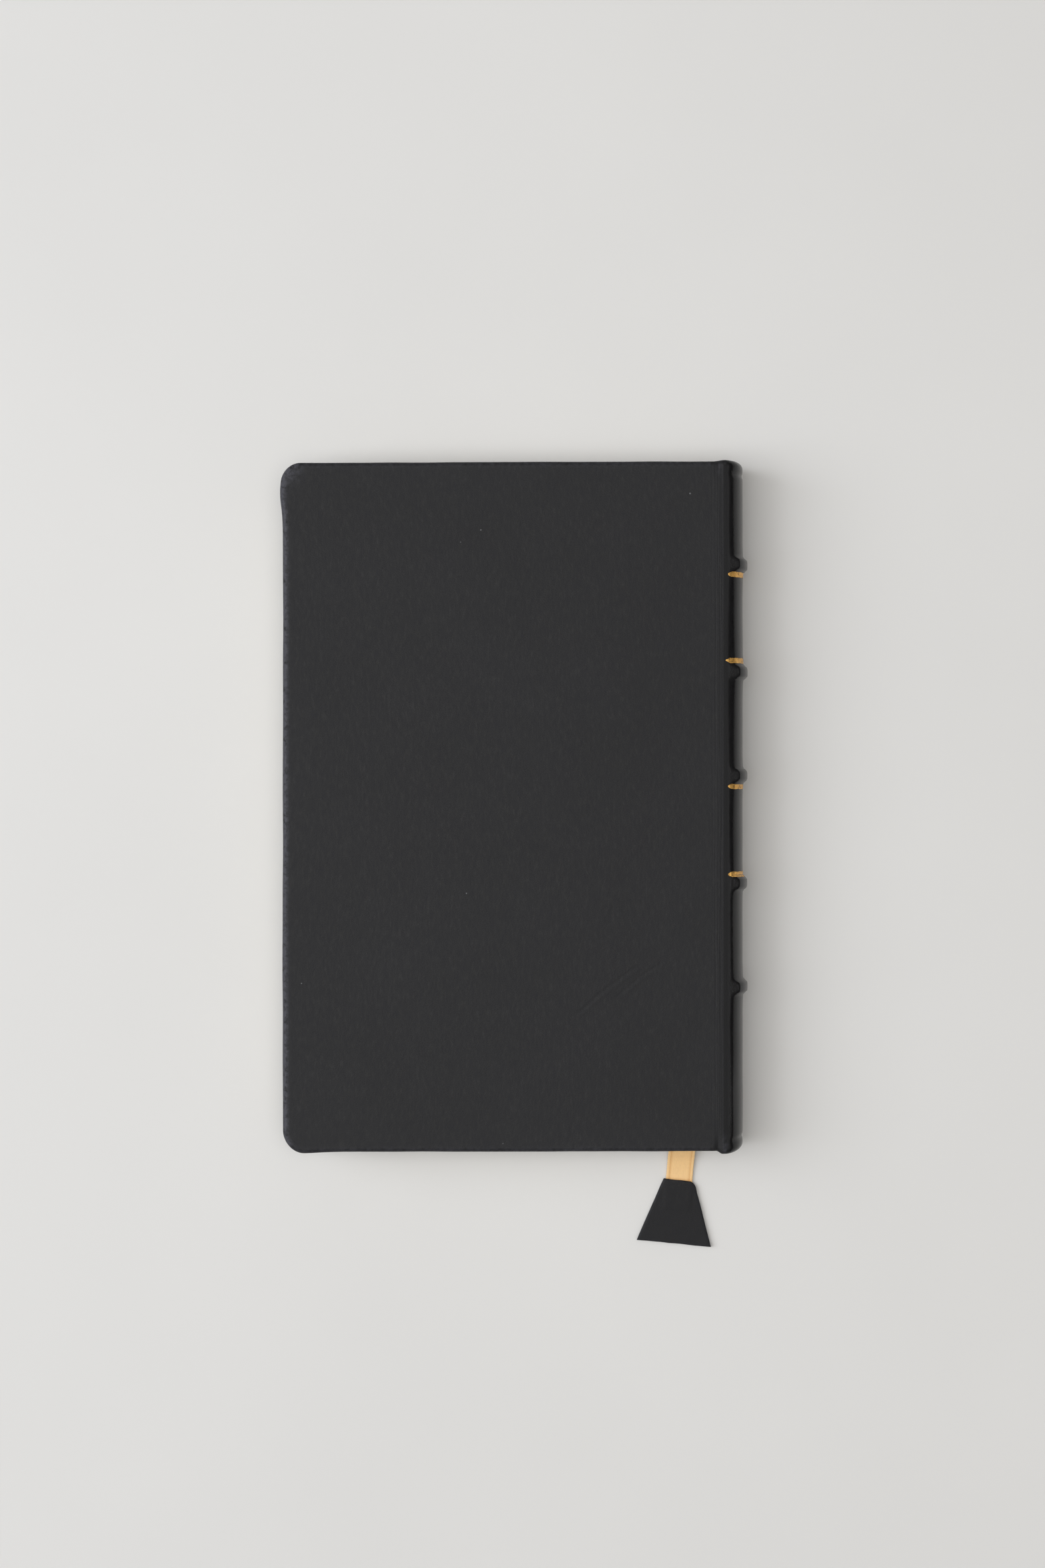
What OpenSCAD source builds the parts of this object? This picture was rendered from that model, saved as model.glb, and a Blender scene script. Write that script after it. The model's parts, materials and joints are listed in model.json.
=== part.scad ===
// Leather-bound prayer book with five raised bands, a ribbon marker and a leather tab.
// +X points to the spine, +Y to the head, +Z up. The book rests on its lower cover.
// The origin is at the bottom centre of the book without its marker.

/* [Book] */
// Width from the fore-edge of the covers to the top of the raised bands
book_w = 137.1; // [120:0.1:160]
// Height of the covers, head to tail
cover_h = 202.3; // [180:0.1:240]
// Height of the spine leather with its head and tail caps
spine_h = 204.9; // [203.9:0.1:206]
// Thickness of the closed book
book_t = 22.5; // [20:0.1:26]

/* [Covers] */
// Thickness of the covering leather
leather_t = 0.8; // [0.6:0.05:1]
// Thickness of a board
board_t = 2.2; // [1.8:0.1:2.6]
// Thickness of the pared turn-ins and of the card that fills between them
turn_in_t = 0.4; // [0.3:0.05:0.5]
// Width of the turn-ins
turn_in_w = 12; // [8:0.5:20]
// Thickness of an endpaper leaf
endpaper_t = 0.2; // [0.15:0.05:0.3]
// Distance from the cover's edges to the pastedown
pastedown_inset = 3.5; // [2:0.5:6]
// Radius of the covers' fore-edge corners
corner_r = 6; // [3:0.5:10]
// Distance from the text block's edges to the covers' edges
square_w = 3; // [2:0.5:4]

/* [Joints] */
// Distance from the top of the bands to the hinge line of a cover
hinge_in = 8.15; // [7.5:0.05:9]
// Inner radius of the leather groove around each hinge line
groove_r = 1.1; // [0.8:0.1:1.3]
// Distance from the hinge line to the board's edge
board_gap = 2.2; // [2:0.1:2.6]
// Distance from the hinge line to the leaves that turn
leaf_gap = 3.4; // [3:0.1:4]

/* [Spine] */
// Height of a raised band above the spine
band_proud = 1.5; // [1:0.1:2]
// Width of a raised band over its leather
band_w = 5.3; // [4:0.1:7]
// Thickness of the linings glued between the bands
lining_t = 0.5; // [0.3:0.1:0.8]
// Width of a gold line
gold_w = 1.5; // [0.8:0.1:2.5]
// Radius of the turned-over head and tail caps
cap_r = 2.2; // [1.6:0.1:2.6]
// Radius of a headband over its silk
headband_r = 1.15; // [0.9:0.05:1.2]
// Radius of a headband's core
headband_core_r = 0.7; // [0.4:0.05:0.8]

/* [Text block] */
// Number of sections, of which the top four turn with the upper cover
sections = 12; // [12]
// Clearance between parts that turn on different hinges
turn_clear = 0.05; // [0.05:0.01:0.08]
// Radius of the leaves' fore-edge corners
leaf_corner_r = 4; // [2:0.5:6]
// Depth of the hollow along the fore-edge
fore_hollow = 4.3; // [3:0.1:5]

/* [Marker] */
// Width of the ribbon
ribbon_w = 8; // [6:0.5:10]
// Thickness of the ribbon
ribbon_t = 0.3; // [0.2:0.05:0.4]
// Height of the leather tab at the end of the ribbon
tab_h = 19; // [12:0.5:25]
// Width of the tab at its ribbon end
tab_top_w = 9.4; // [8.4:0.1:12]
// Width of the tab at its far end
tab_end_w = 22.4; // [15:0.1:26]
// Thickness of each of the tab's two leathers
tab_leather_t = 0.7; // [0.5:0.05:1]

/* [Hidden] */

fine = 128;
edge_fn = 64;
past = 10;
half_w = book_w / 2;
half_h = cover_h / 2;
mid_z = book_t / 2;

// Hinge lines lie in the outer faces of the covers
hinge_x = half_w - hinge_in;
roll_r = groove_r + leather_t;
board_x = hinge_x - board_gap;
leaf_x = hinge_x - leaf_gap;

// Levels inside a cover, measured from its outer face
turn_in_z = leather_t + board_t;
pastedown_z = turn_in_z + turn_in_t;
inner_z = pastedown_z + endpaper_t;
block_z = inner_z + endpaper_t + 2 * turn_clear;
section_t = (book_t - 2 * block_z) / sections;
fan_x = board_x + 0.4;

// Rounded spine: an arc through the widest point and both crests
crest_x = hinge_x + 1.8;
crest_drop = 0.15;
spine_x = half_w - band_proud;
spine_r = arc_radius(mid_z - crest_drop, spine_x - crest_x);
spine_cx = spine_x - spine_r;
lining_r = spine_r - leather_t;
back_r = lining_r - lining_t;
shoulder_z = roll_r + 0.1;
back_a = asin((mid_z - shoulder_z) / back_r);
arc_a = back_a - 1;

// Raised bands rise from the crests on an arc of their own
band_r = arc_radius(mid_z - crest_drop, half_w - crest_x);
band_cx = half_w - band_r;
band_round = 1.4;
core_w = band_w - 2 * leather_t;
BAND_Y = [71.5, 39.8, 9.3, -22.4, -53];
GOLD_Y = [68.4, 43.1, 6.1, -19.8];
gold_t = 0.05;

// Text block
block_h = cover_h - 2 * square_w;
fore_x = -half_w + square_w;
fore_r = arc_radius(mid_z - block_z, fore_hollow);
kettle_y = 90;
kettle_w = 0.6;
kettle_t = 0.4;
headband_y = block_h / 2 + headband_r + 0.05;
headband_arc_r = back_r - headband_r - 0.1;

// Ribbon: it is fixed near the head, lies on section 2 and leaves the text block at the tail
ribbon_section = 2;
ribbon_z = block_z + ribbon_section * section_t - ribbon_t;
RIBBON_ROUTE = [
    [60, 94], [60, 79], [59.6, 62], [59, 44], [58.2, 26], [57.2, 6],
    [56.1, -14], [54.9, -34], [53.5, -54], [52, -74], [50.3, -94], [48.45, -116]
];
ribbon_lean = 4.8;
exit_y = -block_h / 2;
ribbon_exit_x = 49.95;
tab_run = 13.8;
tab_overlap = 9;
tab_z = tab_leather_t;
// Height of the ribbon's lower face, with distance out from the text block's tail edge
RIBBON_DROP = [[-2, ribbon_z], [0, ribbon_z], [0.8, 5.4], [1.8, 4.45], [2.7, 3.85], [3.45, 3.5]];
TAIL_DROP = [
    [3.5, 3.48], [4.4, 3.05], [5.6, 2.4], [7.2, 1.65], [9, 1.1], [11, 0.8],
    [13, tab_z], [tab_run + tab_overlap, tab_z]
];

// Radius of the arc with half-chord c and sagitta s
function arc_radius(c, s) = (c * c + s * s) / (2 * s);

// Points along an arc around [cx, cy]
function arc_points(cx, cy, r, a0, a1, n = 8) =
    [for (i = [0:n]) let (a = a0 + (a1 - a0) * i / n) [cx + r * cos(a), cy + r * sin(a)]];

// Direction across a route at point i
function route_normal(p, i) =
    let (a = p[max(i - 1, 0)], b = p[min(i + 1, len(p) - 1)], d = (b - a) / norm(b - a)) [d[1], -d[0]];

// One side of a strip of the given width along a route
function route_side(p, w) = [for (i = [0:len(p) - 1]) p[i] + route_normal(p, i) * w / 2];
function reversed(p) = [for (i = [len(p) - 1:-1:0]) p[i]];

// ---- Helpers ----

// Extrudes an X-Z outline along Y, centred on Y = 0
module along_y(length) {
    rotate([90, 0, 0]) linear_extrude(length, center = true) children();
}

// Cylinder along Y
module rod_y(x, z, r, length, fn = fine) {
    translate([x, 0, z]) rotate([90, 0, 0]) cylinder(h = length, r = r, center = true, $fn = fn);
}

// Turns an outline of radius and height about an axis along Y through [cx, mid_z]
module turned(cx, fn = fine) {
    translate([cx, 0, mid_z]) rotate([-90, 0, 0]) rotate_extrude($fn = fn) children();
}

// Everything between two angles of the spine's arc
module spine_sector(angle, r = spine_r + past) {
    translate([spine_cx, 0, mid_z]) along_y(spine_h + past)
        polygon([[0, 0], [r * cos(angle), -r * sin(angle)], [2 * r, 0], [r * cos(angle), r * sin(angle)]]);
}

// Ring piece between two radii on the spine's arc
module spine_ring(r0, r1, y0, y1, angle) {
    intersection() {
        turned(spine_cx) translate([r0, y0]) square([r1 - r0, y1 - y0]);
        spine_sector(angle);
    }
}

// Slab with rounded fore-edge corners, inset from a cover's outline
module slab(inset, z0, z1, x1, r) {
    x0 = -half_w + inset;
    h = half_h - inset;
    translate([0, 0, z0]) {
        translate([x0 + r, -h, 0]) cube([x1 - x0 - r, 2 * h, z1 - z0]);
        translate([x0, -h + r, 0]) cube([x1 - x0, 2 * (h - r), z1 - z0]);
        for (side = [-1, 1])
            translate([x0 + r, side * (h - r), 0]) cylinder(h = z1 - z0, r = r, $fn = edge_fn);
    }
}

// Turns a lower part over to the upper side of the book
module over() {
    translate([0, 0, book_t]) mirror([0, 0, 1]) children();
}

// ---- Covers, drawn for the lower side ----

// Covering leather: face, edges, turn-ins and its half of the rolled joint
module cover_leather() {
    edge = leather_t;
    union() {
        difference() {
            slab(0, 0, pastedown_z, board_x, corner_r);
            slab(edge, leather_t, turn_in_z, board_x + past, corner_r - edge);
            translate([-half_w + turn_in_w, -half_h + turn_in_w, turn_in_z - 1])
                cube([cover_h, cover_h - 2 * turn_in_w, past]);
        }
        difference() {
            translate([board_x - 1, -half_h, 0]) cube([hinge_x - board_x + 1, cover_h, leather_t]);
            rod_y(hinge_x, 0, groove_r, cover_h + past);
        }
        difference() {
            rod_y(hinge_x, 0, roll_r, cover_h);
            rod_y(hinge_x, 0, groove_r, cover_h + past);
            translate([hinge_x, -cover_h, -past]) cube([past, 2 * cover_h, 2 * past]);
            translate([hinge_x - past, -cover_h, -past]) cube([2 * past, 2 * cover_h, past]);
        }
    }
}

module cover_board() {
    slab(leather_t, leather_t, turn_in_z, board_x, corner_r - leather_t);
}

// Card between the turn-ins
module cover_turn_in_fill() {
    translate([-half_w + turn_in_w, -half_h + turn_in_w, turn_in_z])
        cube([board_x + half_w - turn_in_w, cover_h - 2 * turn_in_w, turn_in_t]);
}

// Endpaper half glued to the board and down the board's spine edge
module cover_pastedown() {
    h = half_h - pastedown_inset;
    slab(pastedown_inset, pastedown_z, inner_z, board_x + endpaper_t, corner_r - pastedown_inset);
    translate([board_x, -h, roll_r]) cube([endpaper_t, 2 * h, inner_z - roll_r]);
}

// ---- Endpapers, drawn for the lower side ----

module leaf_outline(z0, z1, x1) {
    slab(square_w, z0, z1, x1, leaf_corner_r);
}

module free_endpaper() {
    z0 = inner_z + turn_clear;
    leaf_outline(z0, z0 + endpaper_t, leaf_x);
}

// Part of the endpaper that stays glued over the shoulder of the text block
module endpaper_fold() {
    z0 = inner_z + turn_clear;
    z1 = z0 + endpaper_t;
    tip_x = spine_cx + back_r * cos(back_a) - 0.9;
    rise = (block_z - shoulder_z) / (spine_cx + back_r * cos(back_a) - fan_x);
    tip_z = z1 - (tip_x - fan_x) * rise;
    along_y(block_h) polygon([
        [leaf_x + 2 * turn_clear, z0], [fan_x - 0.05, z0], [tip_x, tip_z - endpaper_t],
        [tip_x, tip_z], [fan_x, z1], [leaf_x + 2 * turn_clear, z1]
    ]);
}

// ---- Text block ----

// X-Z outline of section k, counted from the lower cover, from x0 to its folded back
module section_profile(k, x0) {
    z0 = block_z + (k - 1) * section_t;
    a0 = -back_a + (k - 1) * 2 * back_a / sections;
    a1 = a0 + 2 * back_a / sections;
    reach = back_r / cos(back_a / sections);
    polygon([
        [x0, z0], [fan_x, z0],
        [spine_cx + back_r * cos(a0), mid_z + back_r * sin(a0)],
        [spine_cx + reach * cos((a0 + a1) / 2), mid_z + reach * sin((a0 + a1) / 2)],
        [spine_cx + back_r * cos(a1), mid_z + back_r * sin(a1)],
        [fan_x, z0 + section_t], [x0, z0 + section_t]
    ]);
}

module fore_edge_hollow() {
    rod_y(fore_x + fore_hollow - fore_r, mid_z, fore_r, cover_h + past);
}

// Grooves across the section folds that hold the kettle stitches
module kettle_grooves() {
    for (side = [-1, 1])
        turned(spine_cx) translate([back_r - kettle_t, side * kettle_y - kettle_w / 2])
            square([kettle_t + 1, kettle_w]);
}

// Section that stays on the spine at every opening
module section(k) {
    difference() {
        intersection() {
            along_y(block_h) section_profile(k, fore_x);
            leaf_outline(0, book_t, book_w);
            union() {
                rod_y(spine_cx, mid_z, back_r, cover_h + past);
                translate([-book_w, -cover_h, 0]) cube([book_w + spine_cx, 2 * cover_h, book_t]);
            }
        }
        fore_edge_hollow();
        kettle_grooves();
        if (k == ribbon_section || k == ribbon_section + 1) marker_bed();
    }
}

// Folded back of a section whose leaves turn
module section_fold(k) {
    difference() {
        intersection() {
            along_y(block_h) section_profile(k, leaf_x + 2 * turn_clear);
            rod_y(spine_cx, mid_z, back_r, cover_h + past);
        }
        kettle_grooves();
    }
}

// Leaves of a section, from the fore-edge to the gutter
module section_leaves(k) {
    z0 = block_z + (k - 1) * section_t;
    difference() {
        leaf_outline(z0 + (k == 9 ? turn_clear : 0), z0 + section_t - turn_clear, leaf_x);
        fore_edge_hollow();
    }
}

// ---- Spine ----

// Half of the cap's outline is an arc at each end of the spine
module spine_outline() {
    h = spine_h / 2;
    polygon(concat(
        [[0, -h]], arc_points(spine_r - cap_r, cap_r - h, cap_r, -90, 0),
        arc_points(spine_r - cap_r, h - cap_r, cap_r, 0, 90), [[0, h]]
    ));
}

// Hollow under the leather, open at both ends inside the caps
module spine_hollow_outline() {
    h = spine_h / 2;
    r = cap_r - leather_t;
    mouth = spine_r - cap_r - 0.4;
    polygon(concat(
        [[0, -h - 1], [mouth, -h - 1], [mouth, leather_t - h]],
        arc_points(lining_r - r, leather_t + r - h, r, -90, 0),
        arc_points(lining_r - r, h - leather_t - r, r, 0, 90),
        [[mouth, h - leather_t], [mouth, h + 1], [0, h + 1]]
    ));
}

// Rounded outline of one band, out to radius r
module band_outline(r, w, round_r) {
    polygon(concat(
        [[0, -w / 2]], arc_points(r - round_r, round_r - w / 2, round_r, -90, 0, 6),
        arc_points(r - round_r, w / 2 - round_r, round_r, 0, 90, 6), [[0, w / 2]]
    ));
}

module band_bump(y) {
    turned(band_cx) translate([0, y]) band_outline(band_r, band_w, band_round);
}

// Sewing cord under the leather of band i
module band_core(i) {
    difference() {
        intersection() {
            turned(band_cx) translate([0, BAND_Y[i]])
                band_outline(band_r - leather_t, core_w, band_round - 0.4);
            spine_sector(back_a - 6);
        }
        rod_y(spine_cx, mid_z, back_r, cover_h + past);
    }
}

// Both hinge lines as rods along the spine
module hinge_rods(r) {
    for (z = [0, book_t]) rod_y(hinge_x, z, r, spine_h + past);
}

module spine_leather() {
    color([0.2, 0.2, 0.205]) difference() {
        intersection() {
            union() {
                turned(spine_cx) spine_outline();
                for (y = BAND_Y) band_bump(y);
            }
            translate([hinge_x, -spine_h, 0]) cube([past, 2 * spine_h, book_t]);
        }
        difference() {
            turned(spine_cx) spine_hollow_outline();
            hinge_rods(roll_r);
        }
        hinge_rods(groove_r);
        for (i = [0:len(BAND_Y) - 1]) band_core(i);
    }
}

// Lining between two bands, or between an end band and the end of the text block
module spine_lining(i) {
    end = block_h / 2 - 0.5;
    y1 = i == 0 ? end : BAND_Y[i - 1] - core_w / 2;
    y0 = i == len(BAND_Y) ? -end : BAND_Y[i] + core_w / 2;
    color([0.75, 0.7, 0.58]) spine_ring(back_r, lining_r, y0, y1, arc_a);
}

// Line of gold leaf on the spine, cut short where it meets the foot of a band
module gold_line(i) {
    y = GOLD_Y[i];
    color([0.8, 0.62, 0.31]) difference() {
        spine_ring(spine_r, spine_r + gold_t, y - gold_w / 2, y + gold_w / 2, arc_a + 1);
        for (y = BAND_Y) band_bump(y);
    }
}

module kettle_thread(side) {
    y = side * kettle_y;
    color([0.85, 0.82, 0.74])
        spine_ring(back_r - kettle_t, back_r, y - kettle_w / 2, y + kettle_w / 2, arc_a);
}

module end_band(side, r0, r1) {
    intersection() {
        turned(spine_cx) translate([headband_arc_r, side * headband_y]) difference() {
            circle(r = r1, $fn = edge_fn);
            if (r0 > 0) circle(r = r0, $fn = edge_fn);
        }
        spine_sector(arc_a - 3);
    }
}

// ---- Marker ----

// Strip of the ribbon that lies between two sections
module marker_bed() {
    translate([0, 0, ribbon_z]) linear_extrude(ribbon_t)
        polygon(concat(route_side(RIBBON_ROUTE, ribbon_w), reversed(route_side(RIBBON_ROUTE, -ribbon_w))));
}

// Ribbon hanging out of the tail: its profile is a list of distances and heights
module ribbon_drop(profile) {
    outline = concat(profile, reversed([for (p = profile) [p[0], p[1] + ribbon_t]]));
    translate([ribbon_exit_x, exit_y, 0]) rotate([0, 0, -ribbon_lean]) rotate([90, 0, -90])
        linear_extrude(ribbon_w, center = true) polygon(outline);
}

// Frame of the tab: its ribbon end is at the origin and it runs along -Y
module at_tab() {
    translate([ribbon_exit_x, exit_y, 0]) rotate([0, 0, -ribbon_lean]) translate([0, -tab_run, 0])
        children();
}

module tab_outline() {
    polygon([
        [-tab_top_w / 2, 0], [tab_top_w / 2, 0], [tab_end_w / 2, -tab_h], [-tab_end_w / 2, -tab_h]
    ]);
}

module marker_ribbon() {
    color([0.89, 0.72, 0.48]) union() {
        intersection() {
            marker_bed();
            translate([-book_w, exit_y, 0]) cube([2 * book_w, block_h, book_t]);
        }
        intersection() {
            ribbon_drop(RIBBON_DROP);
            translate([0, -cover_h / 2 - past, 0]) cube([book_w, cover_h / 2 + past + exit_y, book_t]);
        }
    }
}

module marker_ribbon_tail() {
    color([0.89, 0.72, 0.48]) ribbon_drop(TAIL_DROP);
}

module marker_tab_back() {
    color([0.2, 0.2, 0.205]) at_tab() linear_extrude(tab_leather_t) tab_outline();
}

module marker_tab_front() {
    color([0.2, 0.2, 0.205]) difference() {
        at_tab() translate([0, 0, tab_leather_t])
            linear_extrude(tab_leather_t + ribbon_t) tab_outline();
        ribbon_drop(TAIL_DROP);
    }
}

// ---- Nodes ----

module lower_leather() { color([0.2, 0.2, 0.205]) cover_leather(); }
module lower_board() { color([0.55, 0.5, 0.43]) cover_board(); }
module lower_turn_in_fill() { color([0.8, 0.77, 0.7]) cover_turn_in_fill(); }
module lower_pastedown() { color([0.93, 0.9, 0.82]) cover_pastedown(); }
module upper_leather() { over() lower_leather(); }
module upper_board() { over() lower_board(); }
module upper_turn_in_fill() { over() lower_turn_in_fill(); }
module upper_pastedown() { over() lower_pastedown(); }
module back_free_endpaper() { color([0.93, 0.9, 0.82]) free_endpaper(); }
module front_free_endpaper() { over() back_free_endpaper(); }
module back_endpaper_fold() { color([0.93, 0.9, 0.82]) endpaper_fold(); }
module front_endpaper_fold() { over() back_endpaper_fold(); }
module paper() { color([0.93, 0.89, 0.78]) children(); }

lower_leather();
lower_board();
lower_turn_in_fill();
lower_pastedown();
upper_leather();
upper_board();
upper_turn_in_fill();
upper_pastedown();
back_free_endpaper();
front_free_endpaper();
back_endpaper_fold();
front_endpaper_fold();
for (k = [1:8]) paper() section(k);
for (k = [9:sections]) paper() section_fold(k);
for (k = [9:sections]) paper() section_leaves(k);
spine_leather();
for (i = [0:4]) color([0.8, 0.74, 0.6]) band_core(i);
for (i = [0:5]) spine_lining(i);
for (i = [0:3]) gold_line(i);
kettle_thread(1);  // head_kettle_thread
kettle_thread(-1);  // tail_kettle_thread
color([0.8, 0.74, 0.6]) end_band(1, 0, headband_core_r);  // headband_core
color([0.72, 0.5, 0.2]) end_band(1, headband_core_r, headband_r);  // headband_silk
color([0.8, 0.74, 0.6]) end_band(-1, 0, headband_core_r);  // tailband_core
color([0.72, 0.5, 0.2]) end_band(-1, headband_core_r, headband_r);  // tailband_silk
marker_ribbon();
marker_ribbon_tail();
marker_tab_front();
marker_tab_back();
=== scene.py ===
"""Leather-bound prayer book with raised bands, gold lines and a ribbon marker, built around its frame."""

import json
import math

import bpy
import numpy as np
from bpy.props import FloatProperty, FloatVectorProperty, IntProperty, PointerProperty
from bpy.types import Operator, Panel, PropertyGroup
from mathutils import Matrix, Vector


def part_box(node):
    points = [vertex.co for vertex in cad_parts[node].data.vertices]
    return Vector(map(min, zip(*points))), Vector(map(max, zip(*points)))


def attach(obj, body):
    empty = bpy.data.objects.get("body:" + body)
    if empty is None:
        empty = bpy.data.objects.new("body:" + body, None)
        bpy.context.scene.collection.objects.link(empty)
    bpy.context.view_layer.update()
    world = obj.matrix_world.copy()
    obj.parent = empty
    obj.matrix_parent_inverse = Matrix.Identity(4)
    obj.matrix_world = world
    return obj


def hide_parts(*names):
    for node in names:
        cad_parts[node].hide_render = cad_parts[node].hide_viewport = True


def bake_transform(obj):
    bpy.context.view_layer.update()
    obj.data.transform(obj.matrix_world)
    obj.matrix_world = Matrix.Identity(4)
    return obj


bl_info = {
    "name": "Prayer Book",
    "version": (1, 0, 0),
    "blender": (4, 5, 0),
    "location": "3D View > Sidebar > Prayer Book",
    "description": "Leather-bound prayer book with raised bands and a ribbon marker",
    "category": "Object",
}

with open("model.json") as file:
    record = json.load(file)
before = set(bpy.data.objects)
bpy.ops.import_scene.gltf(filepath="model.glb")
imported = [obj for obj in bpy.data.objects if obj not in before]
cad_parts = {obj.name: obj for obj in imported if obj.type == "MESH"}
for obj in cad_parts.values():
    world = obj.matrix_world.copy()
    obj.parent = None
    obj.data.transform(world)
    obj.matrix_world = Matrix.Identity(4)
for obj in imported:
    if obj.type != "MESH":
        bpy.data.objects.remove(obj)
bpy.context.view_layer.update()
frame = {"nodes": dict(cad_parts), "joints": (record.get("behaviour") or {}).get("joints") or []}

# Shapes are worked out in millimetres and stored in metres.
MM = 0.001


# ---- Measures taken from the frame ----

def low(node):
    """Lowest corner of a frame node, in millimetres."""
    return np.array(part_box(node)[0]) / MM


def high(node):
    """Highest corner of a frame node, in millimetres."""
    return np.array(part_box(node)[1]) / MM


def joint_point(name):
    """Point on a joint's axis, in millimetres."""
    joint = next(j for j in frame["joints"] if j["name"] == name)
    return np.array(joint["pos_m"]) / MM


def middle(node):
    """Centre of a frame node's box, in millimetres."""
    return (low(node) + high(node)) / 2


TOP = high("upper_leather")[2]
MID_Z = TOP / 2
FORE_X = low("upper_leather")[0]
HALF_H = high("upper_leather")[1]
HINGE_X = joint_point("upper_cover_hinge")[0]
BOARD_X = high("upper_board")[0]
LEATHER_T = TOP - high("upper_board")[2]
COVER_T = TOP - low("upper_leather")[2]
TURN_IN_W = low("upper_turn_in_fill")[0] - FORE_X
PAPER_T = high("front_free_endpaper")[2] - low("front_free_endpaper")[2]
PASTEDOWN = (low("upper_pastedown"), high("upper_pastedown"))
FLYLEAF_Z = low("front_free_endpaper")[2]
LEAF_X = high("front_free_endpaper")[0]
CAP_Y = high("spine_leather")[1]
SPINE_X = high("gold_line_2")[0]
BAND_RISE = high("spine_leather")[0] - SPINE_X
BAND_YS = [middle(f"band_core_{i}")[1] for i in range(1, 6)]
GOLD_YS = [middle(f"gold_line_{i}")[1] for i in range(1, 5)]
BLOCK_H = high("section_4")[1]
BLOCK_Z = 2 * high("section_1")[2] - high("section_2")[2]
BLOCK_X = low("section_1")[0]
BACK_X = high("section_6")[0]
SHOULDER_Z = low("section_1")[2]
SECTIONS = 12
FIRST_TURNED = 9
SECTION_T = high("section_5")[2] - high("section_4")[2]

# How far the rounded back of the text block stands beyond its shoulders
BACK_ROUND = 3.55
# Where the leaves begin to fan into the rounded back
FAN_X = BOARD_X + 0.4
# Line along which the spine leather meets the covers' joints
SEAM_X = HINGE_X + 0.5
# Where the joint begins to run down, where the spine's crest lies, and the slope between them
JOINT_X = HINGE_X - 1.1
CREST_X = HINGE_X + 1.35
JOINT_SLOPE = 0.15
# The spine's skin lies this far above the joint's
SKIN_STEP = 0.02
# Height of the spine's oval section for each unit of its width
SPINE_ROUND = 2.0

# The ribbon's line between the sections, then out of the tail and down to the table
EXIT_Y = -BLOCK_H
RIBBON_LINE = [
    (60.0, 94.0), (60.0, 79.0), (59.6, 62.0), (59.0, 44.0), (58.2, 26.0), (57.2, 6.0),
    (56.1, -14.0), (54.9, -34.0), (53.5, -54.0), (52.0, -74.0), (50.3, -94.0), (49.95, -98.15),
]
RIBBON_DROP = [
    (0.8, 5.4), (1.8, 4.45), (2.7, 3.85), (3.5, 3.48), (4.4, 3.05), (5.6, 2.4),
    (7.2, 1.65), (9.0, 1.1), (11.0, 0.8), (13.0, 0.7), (22.8, 0.7),
]
RIBBON_LEAN = math.radians(4.8)
BETWEEN_SECTIONS_Z = 6.05
TAB_RUN = 13.8


# ---- Settings that a user may change ----

class PrayerBookSizes(PropertyGroup):
    """Sizes of the covers, spine, text block and marker."""

    head_corner: FloatProperty(
        name="Head Corner", description="Radius of the cover's corner at the head",
        default=5.2 * MM, min=2 * MM, max=10 * MM, unit="LENGTH", subtype="DISTANCE",
    )
    tail_corner: FloatProperty(
        name="Tail Corner", description="Radius of the cover's corner at the tail",
        default=6.4 * MM, min=2 * MM, max=10 * MM, unit="LENGTH", subtype="DISTANCE",
    )
    edge_round: FloatProperty(
        name="Edge Rounding", description="Radius of the leather over a board's edge",
        default=1.25 * MM, min=0.3 * MM, max=1.6 * MM, unit="LENGTH", subtype="DISTANCE",
    )
    joint_depth: FloatProperty(
        name="Joint Depth", description="Depth of the groove along each joint",
        default=0.03 * MM, min=0.0, max=0.2 * MM, unit="LENGTH", subtype="DISTANCE",
    )
    crease_depth: FloatProperty(
        name="Crease Depth", description="Depth of the creases across the upper cover",
        default=0.1 * MM, min=0.0, max=0.4 * MM, unit="LENGTH", subtype="DISTANCE",
    )
    band_width: FloatProperty(
        name="Band Width", description="Width of a raised band",
        default=5.0 * MM, min=3 * MM, max=8 * MM, unit="LENGTH", subtype="DISTANCE",
    )
    cap_round: FloatProperty(
        name="Cap Rounding", description="Radius of the leather turned over at head and tail",
        default=1.8 * MM, min=1 * MM, max=2.6 * MM, unit="LENGTH", subtype="DISTANCE",
    )
    gold_width: FloatProperty(
        name="Gold Line Width", description="Width of a gold line",
        default=1.5 * MM, min=0.5 * MM, max=3 * MM, unit="LENGTH", subtype="DISTANCE",
    )
    section_leaves: IntProperty(
        name="Leaves per Section", description="Leaves drawn in each section",
        default=8, min=2, max=16,
    )
    fore_hollow: FloatProperty(
        name="Fore-Edge Hollow", description="Depth of the hollow along the fore-edge",
        default=4.3 * MM, min=0.0, max=6 * MM, unit="LENGTH", subtype="DISTANCE",
    )
    ribbon_width: FloatProperty(
        name="Ribbon Width", description="Width of the ribbon marker",
        default=8.0 * MM, min=5 * MM, max=12 * MM, unit="LENGTH", subtype="DISTANCE",
    )
    ribbon_thickness: FloatProperty(
        name="Ribbon Thickness", description="Thickness of the ribbon marker",
        default=0.28 * MM, min=0.1 * MM, max=0.5 * MM, unit="LENGTH", subtype="DISTANCE",
    )
    tab_height: FloatProperty(
        name="Tab Height", description="Height of the leather tab",
        default=19.0 * MM, min=10 * MM, max=30 * MM, unit="LENGTH", subtype="DISTANCE",
    )


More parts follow.
